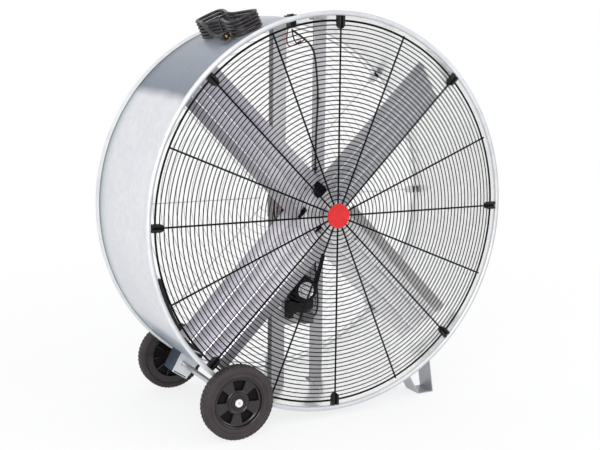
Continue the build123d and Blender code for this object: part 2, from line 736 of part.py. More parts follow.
bolt_spots = [(side * x, 594.0, 13.0) for side in (-1, 1) for x in (62.0, 77.0)]
bolt_spots += [(side * 62.0, z, strut_y) for side in (-1, 1) for z in (280.0, 296.0, 384.0, 400.0)]
with BuildPart() as frame_bolts:
    for x, z, y in bolt_spots:
        with BuildSketch(facing(y, x, z)):
            RegularPolygon(6.5, 6)
        extrude(amount=4.0)
save(frame_bolts.part, "frame_bolts")
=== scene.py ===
from math import asin, atan2, cos, degrees, hypot, inf, pi, radians, sin

import bmesh
import bpy
from mathutils import Matrix, Vector


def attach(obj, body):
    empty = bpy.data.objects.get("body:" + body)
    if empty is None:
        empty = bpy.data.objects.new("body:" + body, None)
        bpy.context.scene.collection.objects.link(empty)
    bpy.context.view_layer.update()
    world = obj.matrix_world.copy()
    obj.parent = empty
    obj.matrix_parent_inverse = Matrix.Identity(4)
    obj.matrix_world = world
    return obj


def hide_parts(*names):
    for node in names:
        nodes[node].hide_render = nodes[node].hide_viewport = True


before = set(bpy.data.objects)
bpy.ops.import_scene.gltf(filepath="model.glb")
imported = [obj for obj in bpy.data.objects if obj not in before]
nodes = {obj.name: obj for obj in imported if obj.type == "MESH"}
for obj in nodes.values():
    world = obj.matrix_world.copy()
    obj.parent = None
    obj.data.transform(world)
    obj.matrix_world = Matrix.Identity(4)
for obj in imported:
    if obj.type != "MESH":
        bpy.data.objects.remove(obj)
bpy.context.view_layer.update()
scene = bpy.context.scene
mm = 0.001  # all the settings below are in millimetres
axisZ = 591.0  # height of the drum's axis
yAxis = (0, 1, 0)


# ---- camera ----
cameraSettings = {
    "azimuth": -27.91,
    "elevation": 9.05,
    "roll": 0.58,
    "distance": 2825.2,
    "target": (-118.8, -216.3, 572.3),
    "lens": 61.16,
}


def makeCamera(s):
    az = radians(s["azimuth"])
    el = radians(s["elevation"])
    back = Vector((sin(az) * cos(el), -cos(az) * cos(el), sin(el)))
    right = (-back).cross(Vector((0, 0, 1))).normalized()
    up = right.cross(-back)
    roll = radians(s["roll"])
    rolledRight = right * cos(roll) + up * sin(roll)
    rolledUp = up * cos(roll) - right * sin(roll)
    data = bpy.data.cameras.new("photoCamera")
    data.lens = s["lens"]
    data.clip_end = 50
    camera = bpy.data.objects.new("photoCamera", data)
    scene.collection.objects.link(camera)
    turn = Matrix((rolledRight, rolledUp, back)).transposed().to_4x4()
    camera.matrix_world = Matrix.Translation((Vector(s["target"]) + back * s["distance"]) * mm) @ turn
    scene.camera = camera


makeCamera(cameraSettings)
print("camera done")


# ---- materials ----
def nodeMaterial(name, colour, metallic, roughness):
    material = bpy.data.materials.new(name)
    material.use_nodes = True
    shader = material.node_tree.nodes["Principled BSDF"]
    shader.inputs["Base Color"].default_value = (*colour, 1)
    shader.inputs["Metallic"].default_value = metallic
    shader.inputs["Roughness"].default_value = roughness
    return material, material.node_tree, shader


def objectCoords(tree):
    return tree.nodes.new("ShaderNodeTexCoord").outputs["Object"]


def noise(tree, coords, scale, detail=3.0):
    texture = tree.nodes.new("ShaderNodeTexNoise")
    texture.inputs["Scale"].default_value = scale
    texture.inputs["Detail"].default_value = detail
    tree.links.new(coords, texture.inputs["Vector"])
    return texture.outputs["Fac"]


def ramp(tree, value, stops):
    node = tree.nodes.new("ShaderNodeValToRGB")
    elements = node.color_ramp.elements
    while len(elements) < len(stops):
        elements.new(0.5)
    for element, (place, colour) in zip(elements, stops):
        element.position = place
        element.color = (*colour, 1)
    tree.links.new(value, node.inputs["Fac"])
    return node.outputs["Color"]


def grey(v):
    return (v, v, v)


# a Math or VectorMath node with sockets or plain values at its inputs
def mathNode(tree, kind, operation, *values):
    node = tree.nodes.new("ShaderNode" + kind)
    node.operation = operation
    for socket, value in zip(node.inputs, values):
        if isinstance(value, bpy.types.NodeSocket):
            tree.links.new(value, socket)
        else:
            socket.default_value = value
    return node


def separated(tree, vector):
    split = tree.nodes.new("ShaderNodeSeparateXYZ")
    tree.links.new(vector, split.inputs[0])
    return split.outputs


# stops with their places in metres, as shares of the way from start to the last of them
def fromStart(stops, start):
    return [((place - start) / (stops[-1][0] - start), colour) for place, colour in stops]


def spanned(tree, value, start, end, low=0.0):
    node = tree.nodes.new("ShaderNodeMapRange")
    node.inputs["From Min"].default_value = start
    node.inputs["From Max"].default_value = end
    node.inputs["To Min"].default_value = low
    tree.links.new(value, node.inputs["Value"])
    return node.outputs["Result"]


# a ramp along one axis with its places in metres, from start on, blurred by a little noise
def axisRamp(tree, coords, axis, start, stops, blur=0.02):
    cloud = noise(tree, coords, scale=6.0, detail=4.0)
    place = mathNode(tree, "Math", "MULTIPLY_ADD", cloud, blur, separated(tree, coords)[axis]).outputs[0]
    return ramp(tree, spanned(tree, place, start, stops[-1][0]), fromStart(stops, start))


# by the distance from the fan's axis, in metres
def axleRamp(tree, stops):
    flat = mathNode(tree, "VectorMath", "MULTIPLY_ADD", objectCoords(tree), (1, 0, 1), (0, 0, -axisZ * mm))
    radius = mathNode(tree, "VectorMath", "LENGTH", flat.outputs[0]).outputs["Value"]
    return ramp(tree, spanned(tree, radius, 0, stops[-1][0]), fromStart(stops, 0))


# from faces that look left, over those that look to the front, to those that look right
def sideRamp(tree, stops):
    sideways = separated(tree, tree.nodes.new("ShaderNodeNewGeometry").outputs["Normal"])["X"]
    return ramp(tree, mathNode(tree, "Math", "MULTIPLY_ADD", sideways, 0.5, 0.5).outputs[0], stops)


def colourMix(tree, first, second):
    node = tree.nodes.new("ShaderNodeMix")
    node.data_type = "RGBA"
    tree.links.new(first, node.inputs[6])
    tree.links.new(second, node.inputs[7])
    return node


def multiply(tree, first, second):
    node = colourMix(tree, first, second)
    node.blend_type = "MULTIPLY"
    node.inputs[0].default_value = 1.0
    return node.outputs[2]


def addBump(tree, shader, height, strength, distance):
    bump = tree.nodes.new("ShaderNodeBump")
    bump.inputs["Strength"].default_value = strength
    bump.inputs["Distance"].default_value = distance
    tree.links.new(height, bump.inputs["Height"])
    tree.links.new(bump.outputs["Normal"], shader.inputs["Normal"])


# zinc-coated sheet: soft cloudy zones with small crystals over them, times any painted light and shade passed in
def galvanised(name, dark, light, metallic, spangle=60.0, roughness=0.4, paintedLightAndShade=()):
    material, tree, shader = nodeMaterial(name, light, metallic, roughness)
    coords = objectCoords(tree)
    colour = ramp(tree, noise(tree, coords, scale=2.2, detail=2.0), [(0.35, dark), (0.65, light)])
    for tone in paintedLightAndShade:
        colour = multiply(tree, colour, tone(tree, coords))
    crystals = tree.nodes.new("ShaderNodeTexVoronoi")
    crystals.inputs["Scale"].default_value = spangle
    tree.links.new(coords, crystals.inputs["Vector"])
    sparkle = ramp(tree, crystals.outputs["Color"], [(0.1, grey(0.9)), (0.9, grey(1.0))])
    tree.links.new(multiply(tree, colour, sparkle), shader.inputs["Base Color"])
    uneven = [(0.0, grey(roughness - 0.06)), (1.0, grey(roughness + 0.08))]
    shine = ramp(tree, crystals.outputs["Color"], uneven)
    tree.links.new(shine, shader.inputs["Roughness"])
    addBump(tree, shader, noise(tree, coords, scale=160.0), strength=0.08, distance=0.0004)
    return material


# moulded plastic, rubber or paint with a fine grain and slightly uneven shine
def moulded(name, colour, roughness, grain=700.0, bump=0.25, coat=0.0, gloss=0.25):
    material, tree, shader = nodeMaterial(name, colour, 0.0, roughness)
    coords = objectCoords(tree)
    darker = tuple(c * 0.75 for c in colour)
    cloudy = ramp(tree, noise(tree, coords, scale=30.0), [(0.3, darker), (0.7, colour)])
    tree.links.new(cloudy, shader.inputs["Base Color"])
    uneven = [(0.3, grey(roughness - 0.07)), (0.7, grey(roughness + 0.07))]
    shine = ramp(tree, noise(tree, coords, scale=55.0), uneven)
    tree.links.new(shine, shader.inputs["Roughness"])
    addBump(tree, shader, noise(tree, coords, scale=grain), strength=bump, distance=0.0003)
    shader.inputs["Coat Weight"].default_value = coat
    shader.inputs["Specular IOR Level"].default_value = gloss
    return material


# painted light and shade for the sheets, by height, depth or radius in metres, or from faces that look left (0)
# to right (1)
# painted reflection and shade on the drum's outside: blue-grey bands low down and high up, white between, by
# height in metres
paintedDrumReflectionBands = [
    (0.0, (0.36, 0.44, 0.49)), (0.255, (0.47, 0.56, 0.60)), (0.285, (0.90, 0.93, 0.94)), (0.34, (1, 1, 1)),
    (0.925, (1, 1, 1)), (0.95, (0.25, 0.29, 0.35)), (1.03, (0.34, 0.38, 0.44)), (1.12, (0.52, 0.56, 0.61)),
    (1.2, (0.7, 0.72, 0.75)),
]
# painted shade on the drum's right side, darker low down and high up
paintedRightShadeBands = [(0.0, (0.62, 0.67, 0.70)), (0.3, (0.96, 0.97, 0.98)), (0.8, (1, 1, 1)), (1.2, (0.70, 0.73, 0.77))]
# how far the right side's painted shade takes over from the painted bands, by X in metres
paintedRightShadeShare = [(-0.6, grey(0.0)), (-0.1, grey(0.0)), (0.2, grey(1.0))]
# painted shade on the drum towards its rear edge, from white to dark grey-green, by depth in metres
paintedRearEdgeShade = [
    (0.14, (1, 1, 1)), (0.17, (0.86, 0.91, 0.91)), (0.195, (0.62, 0.69, 0.69)), (0.203, (0.28, 0.33, 0.33)),
    (0.214, (0.34, 0.39, 0.39)),
]
# painted shade on the struts, darker low down, by height in metres
strutPaintedShadeBands = [(0.0, grey(0.54)), (0.38, grey(0.6)), (0.62, grey(0.88)), (1.1, grey(0.92))]
# strong painted shade, blue-grey, on faces that look left
paintedLeftSideShadeDark = [(0.0, (0.09, 0.115, 0.155)), (0.2, (0.13, 0.165, 0.21)), (0.38, (1, 1, 1)), (1.0, (1, 1, 1))]
# painted shade on faces that look left
paintedLeftSideShade = [(0.0, (0.28, 0.28, 0.30)), (0.2, (0.32, 0.32, 0.34)), (0.38, (1, 1, 1)), (1.0, (1, 1, 1))]
# painted shade on faces that look right
paintedRightSideShade = [(0.0, (1, 1, 1)), (0.35, (1, 1, 1)), (0.6, (0.66, 0.67, 0.69)), (1.0, (0.56, 0.58, 0.60))]
# painted light on the blades: paler near the hub, darker further out, by radius in metres
paintedRootLight = [
    (0.0, (0.86, 0.85, 0.86)), (0.15, (0.84, 0.83, 0.84)), (0.34, (0.52, 0.51, 0.54)), (0.6, (0.45, 0.44, 0.48)),
]
paintedBandTilt = -2.5  # degrees that the drum's painted reflection bands lean


# painted reflection bands on the drum's outside, tilted, giving way on the right to painted shade
def paintedDrumReflection(tree, coords):
    tilt = tree.nodes.new("ShaderNodeMapping")
    tilt.inputs["Rotation"].default_value = (radians(paintedBandTilt), 0, 0)
    tree.links.new(coords, tilt.inputs["Vector"])
    zones = axisRamp(tree, tilt.outputs["Vector"], "Z", 0.0, paintedDrumReflectionBands)
    even = axisRamp(tree, coords, "Z", 0.0, paintedRightShadeBands)
    node = colourMix(tree, zones, even)
    tree.links.new(axisRamp(tree, coords, "X", paintedRightShadeShare[0][0], paintedRightShadeShare), node.inputs[0])
    return node.outputs[2]


# painted shade darkening the drum towards its rear edge
def paintedRearShade(tree, coords):
    return axisRamp(tree, coords, "Y", 0.0, paintedRearEdgeShade, blur=0.001)


# painted shade on the struts, darker low down
def strutPaintedHeightShade(tree, coords):
    return axisRamp(tree, coords, "Z", 0.0, strutPaintedShadeBands)


# painted light on the blades, paler near the hub
def bladePaintedRootLight(tree, coords):
    return axleRamp(tree, paintedRootLight)


# painted shade on the hem's faces that look right
def hemPaintedSideShade(tree, coords):
    return sideRamp(tree, paintedRightSideShade)


# painted shade on the struts' faces that look left
def strutPaintedSideShade(tree, coords):
    return sideRamp(tree, paintedLeftSideShade)


# painted shade on the plates' faces that look left
def platePaintedSideShade(tree, coords):
    return sideRamp(tree, paintedLeftSideShadeDark)


# the drum's outer skin, with painted reflection bands and painted shade towards its rear edge
drumSheet = galvanised("drumSheet", (0.71, 0.71, 0.745), (0.765, 0.765, 0.79),
                       metallic=0.3, spangle=70.0, roughness=0.42, paintedLightAndShade=(paintedDrumReflection, paintedRearShade))
# painted light: the inside of the drum is a near-white mirror, far paler than the same sheet outside
drumInsidePaintedLight = galvanised("drumInsidePaintedLight", (0.97, 0.97, 0.97), (1.0, 1.0, 1.0), metallic=0.9, roughness=0.26)
# the rolled hems, with painted shade on faces that look right
hemSheet = galvanised("hemSheet", (0.72, 0.73, 0.75), (0.80, 0.81, 0.83),
                      metallic=0.4, spangle=40.0, roughness=0.34, paintedLightAndShade=(hemPaintedSideShade,))
guardZinc = galvanised("guardZinc", (0.92, 0.93, 0.94), (0.97, 0.97, 0.98),
                       metallic=0.0, spangle=200.0, roughness=0.35)
# the blades' sheet, with painted light near the hub
bladeSheet = galvanised("bladeSheet", (0.84, 0.82, 0.88), (0.96, 0.94, 1.0), metallic=0.4, paintedLightAndShade=(bladePaintedRootLight,))
# a copy of the blade sheet painted as lit, for one blade
bladeLitCopy = galvanised("bladeLitCopy", (0.94, 0.93, 0.94), (0.99, 0.98, 0.99), metallic=0.1)
# painted shade on the bent lips
bladeLipShade = galvanised("bladeLipShade", (0.56, 0.55, 0.58), (0.68, 0.67, 0.70), metallic=0.4, paintedLightAndShade=(bladePaintedRootLight,))
# painted highlight on the rib tops
bladeRidgeHighlight = galvanised("bladeRidgeHighlight", (0.88, 0.88, 0.9), (0.92, 0.92, 0.94), metallic=0.7, roughness=0.24)
# a copy of the blade sheet painted as shaded, for one blade
bladeShadedCopy = galvanised("bladeShadedCopy", (0.53, 0.53, 0.57), (0.62, 0.62, 0.66), metallic=0.3)
# painted highlight on the shaded blade's rib tops
shadedBladeRidgeHighlight = galvanised("shadedBladeRidgeHighlight", (1.0, 1.0, 1.0), (1.0, 1.0, 1.0), metallic=0.0, roughness=0.5)
# painted shade on the shaded blade's lip
shadedBladeLipShade = galvanised("shadedBladeLipShade", (0.42, 0.42, 0.45), (0.50, 0.50, 0.53), metallic=0.3)
# painted shade on the lit blade's lip
litBladeLipShade = galvanised("litBladeLipShade", (0.42, 0.41, 0.41), (0.52, 0.51, 0.51), metallic=0.3)
spiderSheet = galvanised("spiderSheet", (0.80, 0.79, 0.82), (0.90, 0.89, 0.92), metallic=0.4, roughness=0.45)
# struts, bearing plates and motor bracket, with painted shade low down and on faces that look left
strutSheet = galvanised("strutSheet", (0.80, 0.79, 0.81), (0.94, 0.93, 0.95),
                        metallic=0.2, roughness=0.45, paintedLightAndShade=(strutPaintedHeightShade, strutPaintedSideShade))
# zinc-plated brackets and spacers, with painted shade on faces that look left
zincPlate = galvanised("zincPlate", (0.80, 0.83, 0.85), (0.94, 0.96, 0.98),
                       metallic=0.3, spangle=110.0, roughness=0.33, paintedLightAndShade=(platePaintedSideShade,))
footPlate = galvanised("footPlate", (0.36, 0.37, 0.39), (0.55, 0.56, 0.59), metallic=0.5, spangle=110.0)
capSteel = galvanised("capSteel", (0.88, 0.88, 0.88), (0.96, 0.96, 0.96),
                      metallic=0.6, spangle=300.0, roughness=0.18)
brightSteel = galvanised("brightSteel", (0.60, 0.61, 0.62), (0.74, 0.75, 0.76),
                         metallic=0.95, spangle=300.0, roughness=0.25)
wireBlack = moulded("wireBlack", (0.005, 0.005, 0.006), 0.5, grain=900.0, bump=0.1, gloss=0.08)
clipBlack = moulded("clipBlack", (0.008, 0.007, 0.008), 0.3)
tyreRubber = moulded("tyreRubber", (0.050, 0.040, 0.043), 0.58, grain=500.0, bump=0.35)
hubPlastic = moulded("hubPlastic", (0.016, 0.012, 0.014), 0.22, grain=900.0, bump=0.1, gloss=0.5)
cordJacket = moulded("cordJacket", (0.026, 0.022, 0.026), 0.34, grain=600.0, bump=0.2, gloss=0.4)
plugBlack = moulded("plugBlack", (0.020, 0.018, 0.020), 0.4)
castBlack = moulded("castBlack", (0.008, 0.008, 0.009), 0.55, grain=350.0, bump=0.6, gloss=0.15)
# painted shade in the small dimple at the middle of each axle cap
capPaintedShade = moulded("capPaintedShade", (0.10, 0.09, 0.09), 0.5)
# painted shade in the hubs' pockets and in the hollow of their backs
hubPaintedShade = moulded("hubPaintedShade", (0.007, 0.005, 0.006), 0.6, grain=900.0, bump=0.1, gloss=0.15)
motorPaint = moulded("motorPaint", (0.009, 0.009, 0.010), 0.35, grain=400.0)
boxGrey = moulded("boxGrey", (0.16, 0.16, 0.17), 0.5)
beltRubber = moulded("beltRubber", (0.006, 0.006, 0.006), 0.6, gloss=0.1)
badgeRed = moulded("badgeRed", (0.66, 0.017, 0.019), 0.35, grain=900.0, bump=0.05, coat=0.2)
wireRed = moulded("wireRed", (0.62, 0.02, 0.02), 0.4)
wireWhite = moulded("wireWhite", (0.75, 0.75, 0.74), 0.4)
brass = galvanised("brass", (0.55, 0.38, 0.10), (0.78, 0.58, 0.20), metallic=1.0, spangle=400.0, roughness=0.22)
print("materials done")


# ---- making pieces ----
def addPiece(name, data, body, replaced):
    piece = bpy.data.objects.new(name, data)
    scene.collection.objects.link(piece)
    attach(piece, body)
    if replaced:
        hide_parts(*replaced)
    return piece


# turns a bmesh, made in millimetres, into a piece that rides on its body
def finishPiece(name, bm, material, body, replaced, sharp=35.0):
    bmesh.ops.scale(bm, vec=(mm, mm, mm), verts=bm.verts)
    mesh = bpy.data.meshes.new(name)
    bm.to_mesh(mesh)
    bm.free()
    mesh.shade_smooth()
    mesh.set_sharp_from_angle(angle=radians(sharp))
    for each in material if isinstance(material, list) else [material]:
        mesh.materials.append(each)
    return addPiece(name, mesh, body, replaced)


# spins profiles of (radius, y) points about the Y axis through (x, z)
def spunAll(bm, profiles, centre=(0, axisZ), steps=96, closed=True):
    geom = []
    for profile in profiles:
        verts = [bm.verts.new((centre[0] + r, y, centre[1])) for r, y in profile]
        pairs = zip(verts, verts[1:] + verts[:1]) if closed else zip(verts, verts[1:])
        geom += verts + [bm.edges.new(pair) for pair in pairs]
    bmesh.ops.spin(bm, geom=geom, cent=(centre[0], 0, centre[1]), axis=yAxis, angle=2 * pi, steps=steps,
                   use_merge=True)


def spun(bm, profile, centre=(0, axisZ), steps=96, closed=True):
    spunAll(bm, [profile], centre, steps, closed)


def cleaned(bm):
    bmesh.ops.remove_doubles(bm, verts=bm.verts, dist=0.0005)
    bmesh.ops.recalc_face_normals(bm, faces=bm.faces)


# gives the second material to the faces between two distances from the Y axis through (x, z)
def markRing(bm, centre, inner=0.0, outer=inf):
    for face in bm.faces:
        spot = face.calc_center_median()
        if inner <= hypot(spot.x - centre[0], spot.z - centre[1]) < outer:
            face.material_index = 1


def roundSection(radius, y, wire, sides):
    turns = [2 * pi * k / sides for k in range(sides)]
    return [(radius + wire * cos(a), y + wire * sin(a)) for a in turns]


# extrudes an outline of (x, y) points, laid by a matrix, along the matrix's z
def slab(bm, outline, place, height):
    verts = [bm.verts.new((x, y, 0)) for x, y in outline]
    face = bm.faces.new(verts)
    made = bmesh.ops.extrude_face_region(bm, geom=[face])
    top = [v for v in made["geom"] if isinstance(v, bmesh.types.BMVert)]
    bmesh.ops.translate(bm, verts=top, vec=(0, 0, height))
    solid = verts + top
    bmesh.ops.transform(bm, matrix=place, verts=solid)
    return solid


def edgesOf(verts):
    chosen = set(verts)
    return [e for v in verts for e in v.link_edges if e.other_vert(v) in chosen]


def softened(bm, verts, width):
    bmesh.ops.bevel(bm, geom=list(set(edgesOf(verts))), offset=width, segments=2, profile=0.5, affect="EDGES",
                    material=-1)


# x outwards at a polar angle, y round the drum, z towards the front
def aroundDrum(polar, y, radius=0.0):
    turn = radians(polar)
    outward = Vector((cos(turn), 0, sin(turn)))
    front = Vector((0, -1, 0))
    around = front.cross(outward)
    place = Matrix((outward, around, front)).transposed().to_4x4()
    place.translation = Vector((0, y, axisZ)) + outward * radius
    return place


# ---- cord, first because its spread can move the solids ----
cordSettings = {
    "diameter": 9.0,
    "polar": 115.5,
    "y": -31.5,
    "skin": 560.0,
    "step": 9.6,
    "folds": 5,
    "first": 7.0,
    "start": 60.0,
    "end": 135.0,
    "side": 40.0,
    "flare": 84.0,
    "waist": 11.0,
    "tail": [(46.0, 54.0, 54.0), (10.0, 58.0, 34.0), (-18.0, 58.0, 15.0), (-50.0, 58.0, 15.0)],
    "glandSide": 70.0,
    "glandHeight": 10.5,
    "straight": 27.0,
    "length": 3.6,
}


# x along Y, y round the drum to the left, z out of the drum
def skinFrame(polar, y, skin):
    turn = radians(polar)
    outward = Vector((cos(turn), 0, sin(turn)))
    along = Vector((0, 1, 0))
    place = Matrix((along, outward.cross(along), outward)).transposed().to_4x4()
    place.translation = Vector((0, y, axisZ)) + outward * skin
    return place


def hankFrame(s):
    return skinFrame(s["polar"], s["y"], s["skin"])


def glandFrame(s):
    return skinFrame(s["polar"] - degrees(asin(s["glandSide"] / s["skin"])), s["y"], s["skin"])


def cordRoute(s):
    seat = hankFrame(s)
    leave = glandFrame(s) @ Vector((0, 0, s["glandHeight"]))
    places = [(s["start"], -s["side"], s["first"])]
    for layer in range(s["folds"]):
        low = s["first"] + s["step"] * layer
        places += [(s["end"], -s["side"], low), (s["end"], s["side"], low), (s["flare"], s["side"], low)]
        places += [(0, s["waist"], low), (-s["flare"], s["side"], low), (-s["end"], s["side"], low)]
        places += [(-s["end"], -s["side"], low), (-s["flare"], -s["side"], low)]
        places += [(0, -s["waist"], low + s["step"] / 2), (s["flare"], -s["side"], low + s["step"])]
    top = s["first"] + s["step"] * s["folds"]
    places += [(s["end"], -s["side"], top), (s["end"], s["side"], top), (s["flare"], s["side"], top)]
    places += s["tail"]
    return [leave, leave + Vector((0, s["straight"], 0))] + [seat @ Vector(p) for p in places]


def smoothTube(name, points, radius, material, replaced):
    curve = bpy.data.curves.new(name, "CURVE")
    curve.dimensions = "3D"
    curve.bevel_depth = radius * mm
    curve.bevel_resolution = 3
    curve.resolution_u = 8
    curve.use_fill_caps = True
    spline = curve.splines.new("NURBS")
    spline.points.add(len(points) - 1)
    for point, place in zip(spline.points, points):
        point.co = (*(Vector(place) * mm), 1)
    spline.order_u = 3
    spline.use_endpoint_u = True
    curve.materials.append(material)
    return addPiece(name, curve, "frame", replaced)


cordPoints = cordRoute(cordSettings)
powerCord = smoothTube("powerCord", cordPoints, cordSettings["diameter"] / 2, cordJacket,
                       ["cord_lead", "cord_hank"])

# each ring has its depth, width, height and corner radius
plugSettings = {
    "length": 45.0,
    "rings": [
        (0, 12, 11, 4), (6, 12, 11, 4), (8, 14.5, 13.5, 4), (10, 12.5, 11.5, 4), (12, 15, 14, 4),
        (14, 13, 12, 4), (17, 20, 16.5, 6), (24, 23.5, 19, 6), (40, 24.5, 19.5, 6), (45, 23.5, 19, 5),
    ],
}


def plugFrame():
    end = Matrix.Translation(cordSettings["tail"][-1])
    return hankFrame(cordSettings) @ end @ Matrix.Rotation(radians(-90), 4, "Y")


def makePlug(s):
    bm = bmesh.new()
    loops = []
    for depth, width, height, corner in s["rings"]:
        loop = []
        for quarter in range(4):
            for step in range(4):
                a = radians(90 * quarter + 30 * step)
                cx = (width / 2 - corner) * (1 if quarter in (0, 3) else -1)
                cy = (height / 2 - corner) * (1 if quarter in (0, 1) else -1)
                loop.append(bm.verts.new((cy + corner * sin(a), cx + corner * cos(a), depth)))
        loops.append([bm.edges.new(pair) for pair in zip(loop, loop[1:] + loop[:1])])
    for lower, upper in zip(loops, loops[1:]):
        bmesh.ops.bridge_loops(bm, edges=lower + upper)
    for loop in (loops[0], loops[-1]):
        bmesh.ops.edgeloop_fill(bm, edges=loop)
    bmesh.ops.transform(bm, matrix=plugFrame(), verts=bm.verts)
    cleaned(bm)
    return finishPiece("plugBody", bm, plugBlack, "frame", ["plug"])


plugBody = makePlug(plugSettings)

pinSettings = {"length": 17.0, "side": 6.3, "half": 0.8, "low": -1.2, "high": 5.2, "soft": 0.35, "roundAt": -5.0,
               "root": 2.3, "tip": 2.0}


# two flat pins and a round one
def makePins(s):
    bm = bmesh.new()
    place = plugFrame() @ Matrix.Translation((0, 0, plugSettings["length"]))
    for side in (-s["side"], s["side"]):
        one, two = side - s["half"], side + s["half"]
        corners = [(s["low"], one), (s["high"], one), (s["high"], two), (s["low"], two)]
        softened(bm, slab(bm, corners, place, s["length"]), s["soft"])
    made = bmesh.ops.create_cone(bm, cap_ends=True, segments=16, radius1=s["root"], radius2=s["tip"],
                                 depth=s["length"])
    pinPlace = place @ Matrix.Translation((s["roundAt"], 0, s["length"] / 2))
    bmesh.ops.transform(bm, matrix=pinPlace, verts=made["verts"])
    cleaned(bm)
    return finishPiece("plugPins", bm, brass, "frame", ["plug_prongs"])


plugPins = makePins(pinSettings)

tieSettings = {"along": -4.0, "width": 8.0, "half": 24.5, "low": 0.6, "high": 56.5, "thick": 1.4, "corners": 32,
               "square": 0.45}


# a band round the hank's waist, with a squarish loop for its section
def makeTie(s):
    bm = bmesh.new()
    seat = hankFrame(cordSettings)
    middle = (s["low"] + s["high"]) / 2
    halfHeight = (s["high"] - s["low"]) / 2
    corners = []
    for k in range(s["corners"]):
        a = 2 * pi * k / s["corners"]
        x = abs(cos(a)) ** s["square"] * (1 if cos(a) > 0 else -1)
        z = abs(sin(a)) ** s["square"] * (1 if sin(a) > 0 else -1)
        corners.append(seat @ Vector((s["along"], x * s["half"], middle + z * halfHeight)))
    verts = [bm.verts.new(c) for c in corners]
    edges = [bm.edges.new(pair) for pair in zip(verts, verts[1:] + verts[:1])]
    made = bmesh.ops.extrude_edge_only(bm, edges=edges)
    bmesh.ops.translate(bm, verts=[v for v in made["geom"] if isinstance(v, bmesh.types.BMVert)],
                        vec=seat.to_3x3() @ Vector((s["width"], 0, 0)))
    bmesh.ops.recalc_face_normals(bm, faces=bm.faces)
    bmesh.ops.solidify(bm, geom=bm.faces[:], thickness=s["thick"])
    return finishPiece("cordTie", bm, plugBlack, "frame", ["cord_tie"], 50.0)


cordTie = makeTie(tieSettings)

glandSettings = {"nut": 14.0, "nutHigh": 5.0, "lift": 0.4, "soft": 0.8, "back": -13.0, "wide": 9.0,
                 "narrow": 5.2, "sleeve": 26.0}


# a hexagonal nut on the skin, with a sleeve that tapers along the cord
def makeGland(s):
    bm = bmesh.new()
    seat = glandFrame(cordSettings)
    corners = [(s["nut"] * cos(k * pi / 3) + s["back"], s["nut"] * sin(k * pi / 3)) for k in range(6)]
    softened(bm, slab(bm, corners, seat @ Matrix.Translation((0, 0, s["lift"])), s["nutHigh"]), s["soft"])
    tube = bmesh.ops.create_cone(bm, cap_ends=True, segments=24, radius1=s["wide"], radius2=s["narrow"],
                                 depth=s["sleeve"])
    turn = Matrix.Translation((s["back"], 0, cordSettings["glandHeight"])) @ Matrix.Rotation(radians(90), 4, "Y")
    bmesh.ops.transform(bm, matrix=seat @ turn, verts=tube["verts"])
    cleaned(bm)
    return finishPiece("cordGland", bm, plugBlack, "frame", ["cord_gland"])


cordGland = makeGland(glandSettings)
print("cord done")


# ---- drum ----
drumSettings = {
    "skin": 560.0,
    "thick": 2.0,
    "steps": 192,
    "neck": 196.0,
    "flare": 206.0,
    "rise": 0.6,
    "riseY": 210.5,
    "hem": 7.0,
    "hemRadius": 561.0,
    "hemY": 220.0,
    "hemTurns": range(-52, 230, 20),
    "hemEnd": 211.0,
    # depth beyond which the hems take their sheet with painted side shade
    "hemShadeFrom": 210.6,
}


# sheet tube with a rolled hem at each edge
def makeDrum(s):
    outer = s["skin"]
    inner = outer - s["thick"]

    def hem(side):
        turns = [radians(a) for a in s["hemTurns"]]
        roll = [(s["hemRadius"] + s["hem"] * cos(a), side * (s["hemY"] + s["hem"] * sin(a))) for a in turns]
        outside = [(outer, side * s["neck"]), (outer, side * s["flare"]), (outer + s["rise"], side * s["riseY"])]
        return outside + roll + [(inner, side * s["hemEnd"]), (inner, side * s["neck"])]

    bm = bmesh.new()
    spun(bm, hem(1) + hem(-1)[::-1], steps=s["steps"])
    cleaned(bm)
    # hem faces take the hem sheet with its painted side shade, inside faces the near-white sheet of painted
    # light
    for face in bm.faces:
        spot = face.calc_center_median()
        radius = hypot(spot.x, spot.z - axisZ)
        if abs(spot.y) > s["hemShadeFrom"]:
            face.material_index = 2
        elif radius < outer - 0.5 * s["thick"]:
            face.material_index = 1
    sheets = [drumSheet, drumInsidePaintedLight, hemSheet]
    finishPiece("drumSkin", bm, sheets, "frame", ["drum_shell"], 40.0)


makeDrum(drumSettings)
print("drum done")

# ---- guards ----
guardSettings = {
    "face": 217.2,
    "first": 46.0,
    "last": 541.0,
    "wire": 1.55,
    "wireSides": 6,
    "outerWire": 3.0,
    "steps": 120,
    "spokeWire": 2.5,
    "spokeLength": 514.0,
    "spokeMiddle": 287.0,
}


# rings, and spokes laid on their outer side
def makeGuard(s, side, label, rings, spokes, thinner, material):
    bm = bmesh.new()
    pitch = (s["last"] - s["first"]) / (rings - 1)
    sections = []
    for k in range(rings):
        wire = (s["outerWire"] if k == rings - 1 else s["wire"]) - thinner
        sections.append(roundSection(s["first"] + pitch * k, side * (s["face"] - wire), wire, s["wireSides"]))
    spunAll(bm, sections, steps=s["steps"])
    bmesh.ops.recalc_face_normals(bm, faces=bm.faces)
    finishPiece(label + "GuardRings", bm, material, "frame", [label + "_guard_rings"], 80.0)
    bm = bmesh.new()
    wire = s["spokeWire"] - 2 * thinner
    middle = side * (s["face"] + s["spokeWire"])
    for k in range(spokes):
        bar = bmesh.ops.create_cone(bm, cap_ends=True, segments=12, radius1=wire, radius2=wire,
                                    depth=s["spokeLength"])
        place = aroundDrum(360.0 / spokes * k, middle, s["spokeMiddle"]) @ Matrix.Rotation(radians(90), 4, "Y")
        bmesh.ops.transform(bm, matrix=place, verts=bar["verts"])
    finishPiece(label + "GuardSpokes", bm, material, "frame", [label + "_guard_spokes"], 50.0)


